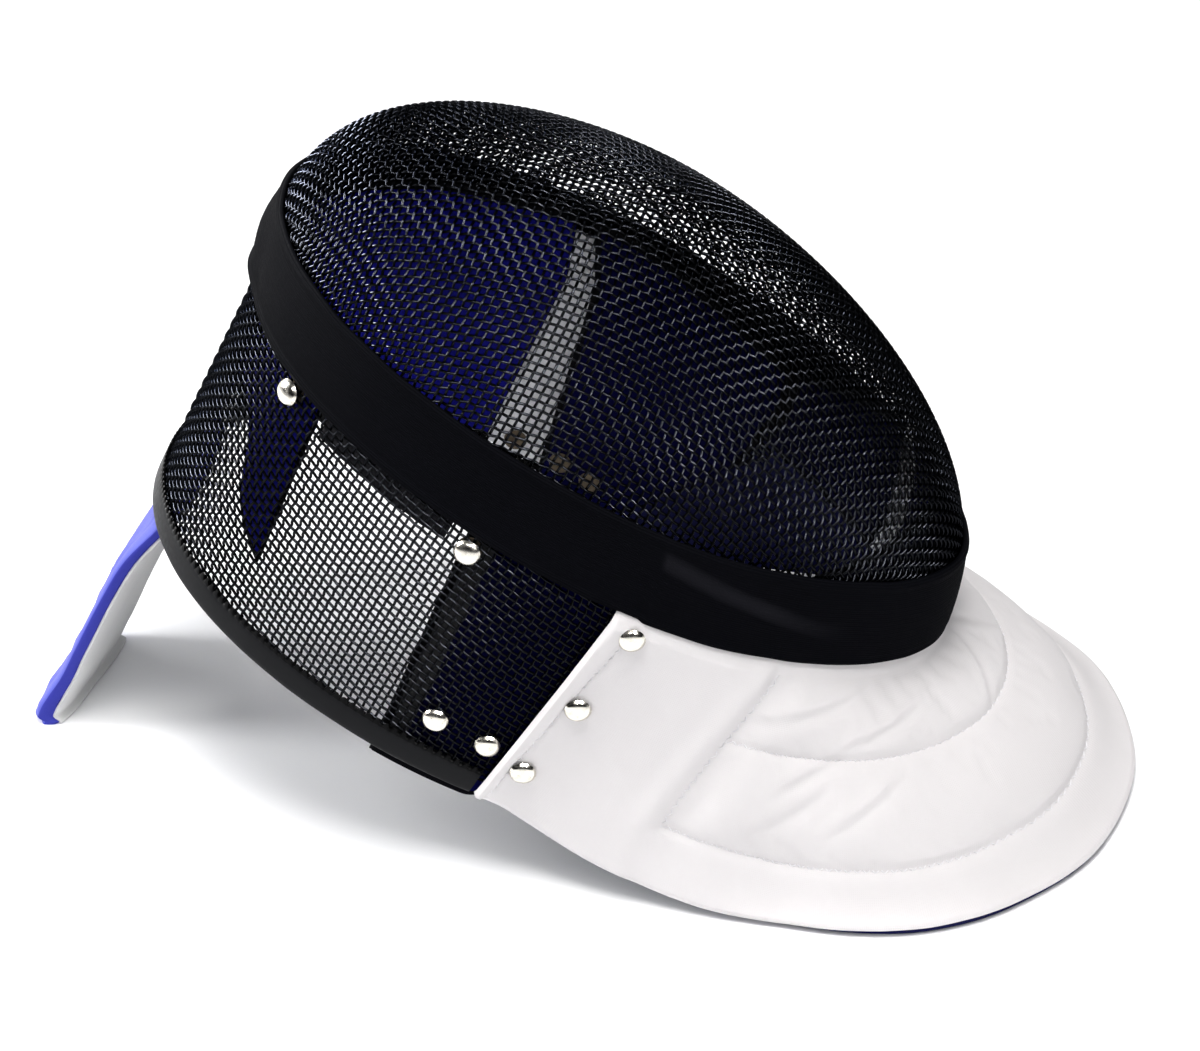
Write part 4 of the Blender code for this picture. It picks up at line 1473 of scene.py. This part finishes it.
def tongue_spot(x, z, row, position):
    """A point of the tongue at x and z, sheared near the tip, so that the tip lies flat on the floor."""
    if position > 0.999:
        return Vector((x, floor_height(z), z))
    shear = smooth_step(*TONGUE_SHEAR_HEIGHTS, row[0])
    return Vector((x, row[0] + shear * (floor_height(z) - floor_height(row[1])), z))


def tongue_point(turn, position, tongue):
    """A point of the tongue's skin: turn runs round its section, position from the root to the tip."""
    row = table_row(TONGUE_TABLE, position * (len(TONGUE_TABLE) - 1))
    across, bulge = tongue_section(turn)
    x = row[3] + TONGUE_WIDTH / 2.0 * across
    z = tongue_crest(x, row) - (row[4] + TONGUE_SWELL) / 2.0 * (1.0 - bulge)
    z -= TONGUE_TIP_TUCK * smooth_step(TONGUE_TIP_START, 1.0, position)
    end = smooth_step(0.0, 0.03, 1.0 - position)
    crumple = noise.noise(Vector((x * 90.0, position * 9.0, bulge * 2.0)))
    near_tip = smooth_step(0.6, 0.95, position)
    z += (0.0003 + tongue.pucker * near_tip) * crumple * end * abs(bulge)
    if bulge > 0.0:
        beside = abs(x - row[3]) - TONGUE_WIDTH / 2.0 + TONGUE_STITCH_INSET
        z -= bulge * 0.0007 * math.exp(-((beside / 0.0016) ** 2))
    piping = math.exp(-(((bulge - TONGUE_SEAM) / 0.10) ** 2)) * across**8
    groove = math.exp(-(((bulge - TONGUE_SEAM + 0.28) / 0.14) ** 2)) * across**8
    x += math.copysign(0.0006 * piping - 0.0004 * groove, across)
    return tongue_spot(x, z, row, position)


class MASK_OT_tongue(bpy.types.Operator):
    """Pad the sprung tongue and sew its facing"""

    bl_idname = "mask.tongue"
    bl_label = "Tongue"

    def execute(self, context):
        tongue = context.scene.mask_tongue
        place = lambda u, v: tongue_point(u, v, tongue)
        unrolled = lambda u, v: (TONGUE_GIRTH * u, TONGUE_LENGTH * v)
        mesh = grid_mesh("tongue", 88, 110, place, unrolled, closed=True)
        shade = (0.095, 0.11, 0.52)
        blue = cloth_shader("blue_tongue_cloth", tongue.color, shade, 0.7, 1300.0, 0.25, Sheen_Weight=0.1)
        deep = cloth_shader("shaded_blue_side_cloth", tongue.shaded_side_color, (0.045, 0.052, 0.36), 0.8, 1300.0, 0.25)
        mesh.materials.append(blue.material)
        mesh.materials.append(deep.material)
        # The sides below the seam get the deeper blue: painted shade.
        for face, spot in face_spots(mesh):
            across, bulge = tongue_section(spot.x / TONGUE_GIRTH)
            face.material_index = int(bulge < TONGUE_SEAM and abs(across) > TONGUE_SHADED_SIDE)
        inset = 0.5 - TONGUE_STITCH_INSET / TONGUE_WIDTH - 0.03

        def loose(x, y):
            across, bulge = tongue_section(x / TONGUE_GIRTH)
            return bulge > 0.0 and abs(across) / 2.0 < inset and 0.05 < y / TONGUE_LENGTH < 0.96

        blow_up(mesh, loose, *TONGUE_CLOTH)
        piece = finish_piece("tongue_cushion", mesh, blue.material, "blue_cloth", "tongue", sharp=0.0)

        def facing(u, v):
            position = FACING_START + (1.0 - FACING_START) * (1.0 - v)
            row = table_row(TONGUE_TABLE, position * (len(TONGUE_TABLE) - 1))
            x = row[3] + 0.0004 + FACING_WIDTH * (0.5 - u)
            reach = tongue_reach((x - row[3]) * 2.0 / TONGUE_WIDTH)
            z = tongue_crest(x, row) - (row[4] + TONGUE_SWELL) * (0.5 + 0.5 * reach)
            z -= FACING_GAP + FACING_WALL
            z -= TONGUE_TIP_TUCK * smooth_step(TONGUE_TIP_START, 1.0, position)
            z += 0.0003 * noise.noise(Vector((x * 70.0, v * 9.0, 0.0)))
            return tongue_spot(x, z, row, position)

        mesh = grid_mesh("tongue_facing", 24, 70, facing, lambda u, v: (FACING_WIDTH * u, FACING_LENGTH * v))
        white = cloth_shader("white_facing_cloth", tongue.facing_color, (0.63, 0.63, 0.63), 0.85, 1100.0, 0.3)
        piece = finish_piece("tongue_cover", mesh, white.material, "white_cloth", "tongue_facing")
        add_wall(piece, -FACING_WALL, 0.0003)
        return {"FINISHED"}


class MASK_PG_rivets(bpy.types.PropertyGroup):
    head_radius: length_setting("Head radius", "Radius of a rivet's head", 0.0051)
    head_height: length_setting("Head height", "Height of a rivet's head", 0.0022)
    steps: IntProperty(name="Steps", description="Flat sides round a rivet", default=40, min=8)
    color: color_setting("Nickel", "Colour of the plating", (0.78, 0.75, 0.68))
    back_color: color_setting("Brass", "Colour of the rivets' backs", (0.13, 0.105, 0.075))


def rivet_profile(rivets, back):
    """Half section of a rivet, (radius, z), from the top of its head down to its back's middle."""
    radius, height = rivets.head_radius, rivets.head_height
    turns = [k * math.pi / 18 for k in range(9)]
    dome = [(radius * 0.94 * math.sin(turn), height * (0.12 + 0.88 * math.cos(turn))) for turn in turns]
    flange = [(radius * 0.985, height * 0.10), (radius, height * 0.05), (radius * 0.99, 0.0)]
    shank = [(RIVET_SHANK_RADIUS, 0.0), (RIVET_SHANK_RADIUS, back)]
    washer = [(0.0046, back), (0.0048, back - 0.0002), (0.0046, back - 0.0008)]
    button = [(0.0036, back - 0.0010), (0.0024, back - 0.0010), (0.0018, back - 0.0006), (0.0, back - 0.0005)]
    return dome + flange + shank + washer + button


class MASK_OT_rivets(bpy.types.Operator):
    """Set the domed rivets with their backs"""

    bl_idname = "mask.rivets"
    bl_label = "Rivets"

    def execute(self, context):
        rivets = context.scene.mask_rivets
        nickel = Shader("nickel_plate", rivets.color, 0.2, 1.0)
        wear = nickel.noise(420.0, 4.0)
        nickel.set("Roughness", nickel.range(wear, 0.14, 0.3))
        wear_and_highlight = nickel.range(wear, 0.0, 1.0, 0.5, 0.8)
        nickel.set("Base Color", nickel.blend(wear_and_highlight, rivets.color, (0.62, 0.59, 0.52)))
        nickel.bump(nickel.noise(150.0, 3.0), 0.06, 0.0003)
        dull = Shader("dull_brass", rivets.back_color, 0.5, 0.9)
        dull.set("Roughness", dull.range(dull.noise(420.0, 4.0), 0.42, 0.6))
        for side, word in ((1.0, "right"), (-1.0, "left")):
            for name, degrees, height, seat in RIVET_TABLE:
                work = bmesh.new()
                back = RIVET_COVERED_SEAT if name in RIVETS_COVERED else RIVET_BACK_SEAT
                profile = rivet_profile(rivets, back - seat)
                verts = [work.verts.new((radius, 0.0, z)) for radius, z in profile]
                edges = [work.edges.new(pair) for pair in zip(verts, verts[1:])]
                bmesh.ops.spin(
                    work,
                    geom=verts + edges,
                    axis=(0.0, 0.0, 1.0),
                    cent=(0.0, 0.0, 0.0),
                    angle=2.0 * math.pi,
                    steps=rivets.steps,
                    use_merge=True,
                )
                bmesh.ops.remove_doubles(work, verts=work.verts, dist=0.00001)
                bmesh.ops.recalc_face_normals(work, faces=work.faces)
                for face in work.faces:
                    face.material_index = int(face.calc_center_median().z < back - seat + 0.0001)
                normal = shell_normal(side * degrees, height)
                point = shell_point(side * degrees, height, seat)
                turn = normal.to_track_quat("Z", "Y").to_matrix().to_4x4()
                bmesh.ops.transform(work, matrix=Matrix.Translation(point) @ turn, verts=work.verts)
                node = f"rivet_{name}_{word}"
                mesh = take_mesh(work, node)
                mesh.materials.append(nickel.material)
                mesh.materials.append(dull.material)
                finish_piece(f"domed_{node}", mesh, nickel.material, "nickel", node, sharp=38.0)
        return {"FINISHED"}


# Camera of the photograph: its axes to the right and to the back, its place (m) and its lens (mm)
CAMERA_RIGHT = Vector((0.9900, 0.1410, 0.0)).normalized()
CAMERA_BACK = Vector((0.1137, -0.7987, 0.5909)).normalized()
CAMERA_PLACE = (0.16865, -1.1409, 0.9424)
CAMERA_LENS = 110.257

STAGE_CENTRE = (0.0, 0.0, 0.12)
FLOOR_DROP = 0.0002

# Lights that only show in glossy parts, for dashes along the wires: place, size (m), share of the power
SPARKS = (
    ((0.0, -1.0, 1.35), (0.24, 0.24), 0.9),
    ((0.75, -0.75, 1.25), (0.24, 0.24), 1.5),
    ((-1.2, 0.3, 0.8), (0.9, 0.3), 5.4),
    ((0.1, 1.1, 1.25), (0.24, 0.24), 1.2),
)


class MASK_PG_stage(bpy.types.PropertyGroup):
    floor_color: color_setting("Floor", "Colour of the floor", (0.93, 0.935, 0.945))
    key_power: power_setting("Key light", "Power of the key light", 24.0)
    fill_power: power_setting("Fill light", "Power of the low front light", 8.0)
    rim_power: power_setting("Rim light", "Power of the light by the crown", 9.0)
    spark_power: power_setting("Spark lights", "Power of a small light that only shows in glossy parts", 26.0)
    sky: FloatProperty(name="Sky", description="Strength of the surroundings", default=0.44)


def add_area_light(name, place, size, power, color=(1.0, 1.0, 1.0)):
    """A rectangular light that faces the middle of the stage."""
    light = bpy.data.lights.new(name, "AREA")
    light.shape = "RECTANGLE"
    light.size, light.size_y = size
    light.energy = power
    light.color = color
    lamp = bpy.data.objects.new(name, light)
    lamp.location = place
    lamp.rotation_euler = (Vector(STAGE_CENTRE) - Vector(place)).to_track_quat("-Z", "Y").to_euler()
    bpy.context.scene.collection.objects.link(lamp)
    return lamp


def add_camera():
    """Camera at the photograph's place, with a lens that gives the photograph's scale."""
    data = bpy.data.cameras.new("photo_camera")
    data.lens = CAMERA_LENS
    data.sensor_width = 36.0
    data.clip_end = 50.0
    camera = bpy.data.objects.new("photo_camera", data)
    turn = Matrix((CAMERA_RIGHT, CAMERA_BACK.cross(CAMERA_RIGHT), CAMERA_BACK)).transposed()
    camera.matrix_world = Matrix.Translation(CAMERA_PLACE) @ turn.to_4x4()
    bpy.context.scene.collection.objects.link(camera)
    bpy.context.scene.camera = camera


class MASK_OT_stage(bpy.types.Operator):
    """Lay the floor, hang the lights and place the camera"""

    bl_idname = "mask.stage"
    bl_label = "Stage"

    def execute(self, context):
        stage = context.scene.mask_stage
        work = bmesh.new()
        bmesh.ops.create_grid(work, x_segments=8, y_segments=8, size=6.0)
        mesh = take_mesh(work, "floor")
        floor = bpy.data.objects.new("floor", mesh)
        floor.location.z = -FLOOR_DROP
        paper = Shader("floor_paper", stage.floor_color, 0.9)
        paper.set("Roughness", paper.range(paper.noise(30.0), 0.85, 0.95))
        mesh.materials.append(paper.material)
        context.scene.collection.objects.link(floor)

        world = bpy.data.worlds.new("studio")
        world.use_nodes = True
        background = world.node_tree.nodes["Background"]
        background.inputs["Color"].default_value = (0.97, 0.98, 1.0, 1.0)
        background.inputs["Strength"].default_value = stage.sky
        world.cycles_visibility.glossy = False
        context.scene.world = world
        context.scene.view_settings.view_transform = "Standard"
        context.scene.view_settings.gamma = 0.88

        warm = (1.0, 0.985, 0.97)
        key = add_area_light("key_light", (0.0, -0.30, 1.65), (0.8, 0.7), stage.key_power, warm)
        fill = add_area_light("fill_light", (1.10, -1.55, 0.75), (2.6, 1.15), stage.fill_power)
        key.visible_glossy = fill.visible_glossy = False
        for place, size, share in SPARKS:
            spark = add_area_light("spark_light", place, size, stage.spark_power * share)
            spark.visible_diffuse = False
        add_area_light("rim_light", (-1.15, -0.15, 0.80), (0.3, 0.9), stage.rim_power)
        add_camera()
        return {"FINISHED"}


class MASK_PT_panel(bpy.types.Panel):
    bl_label = "Fencing Mask"
    bl_idname = "MASK_PT_panel"
    bl_space_type = "VIEW_3D"
    bl_region_type = "UI"
    bl_category = "Mask"

    def draw(self, context):
        for operator in OPERATORS:
            self.layout.operator(operator.bl_idname)


OPERATORS = (
    MASK_OT_face_mesh,
    MASK_OT_side_mesh,
    MASK_OT_seam_band,
    MASK_OT_rim_edging,
    MASK_OT_lining,
    MASK_OT_bib,
    MASK_OT_tongue,
    MASK_OT_rivets,
    MASK_OT_stage,
)
SETTINGS = {
    "mask_weave": MASK_PG_weave,
    "mask_band": MASK_PG_band,
    "mask_edging": MASK_PG_edging,
    "mask_lining": MASK_PG_lining,
    "mask_bib": MASK_PG_bib,
    "mask_tongue": MASK_PG_tongue,
    "mask_rivets": MASK_PG_rivets,
    "mask_stage": MASK_PG_stage,
}


def register():
    for kind in (*SETTINGS.values(), *OPERATORS, MASK_PT_panel):
        bpy.utils.register_class(kind)
    for name, kind in SETTINGS.items():
        setattr(bpy.types.Scene, name, PointerProperty(type=kind))


def unregister():
    for name in SETTINGS:
        delattr(bpy.types.Scene, name)
    for kind in (MASK_PT_panel, *OPERATORS, *SETTINGS.values()):
        bpy.utils.unregister_class(kind)


def main():
    register()
    bpy.ops.mask.face_mesh()
    bpy.ops.mask.side_mesh()
    bpy.ops.mask.seam_band()
    bpy.ops.mask.rim_edging()
    bpy.ops.mask.lining()
    bpy.ops.mask.bib()
    bpy.ops.mask.tongue()
    bpy.ops.mask.rivets()
    bpy.ops.mask.stage()


if __name__ == "__main__":
    main()
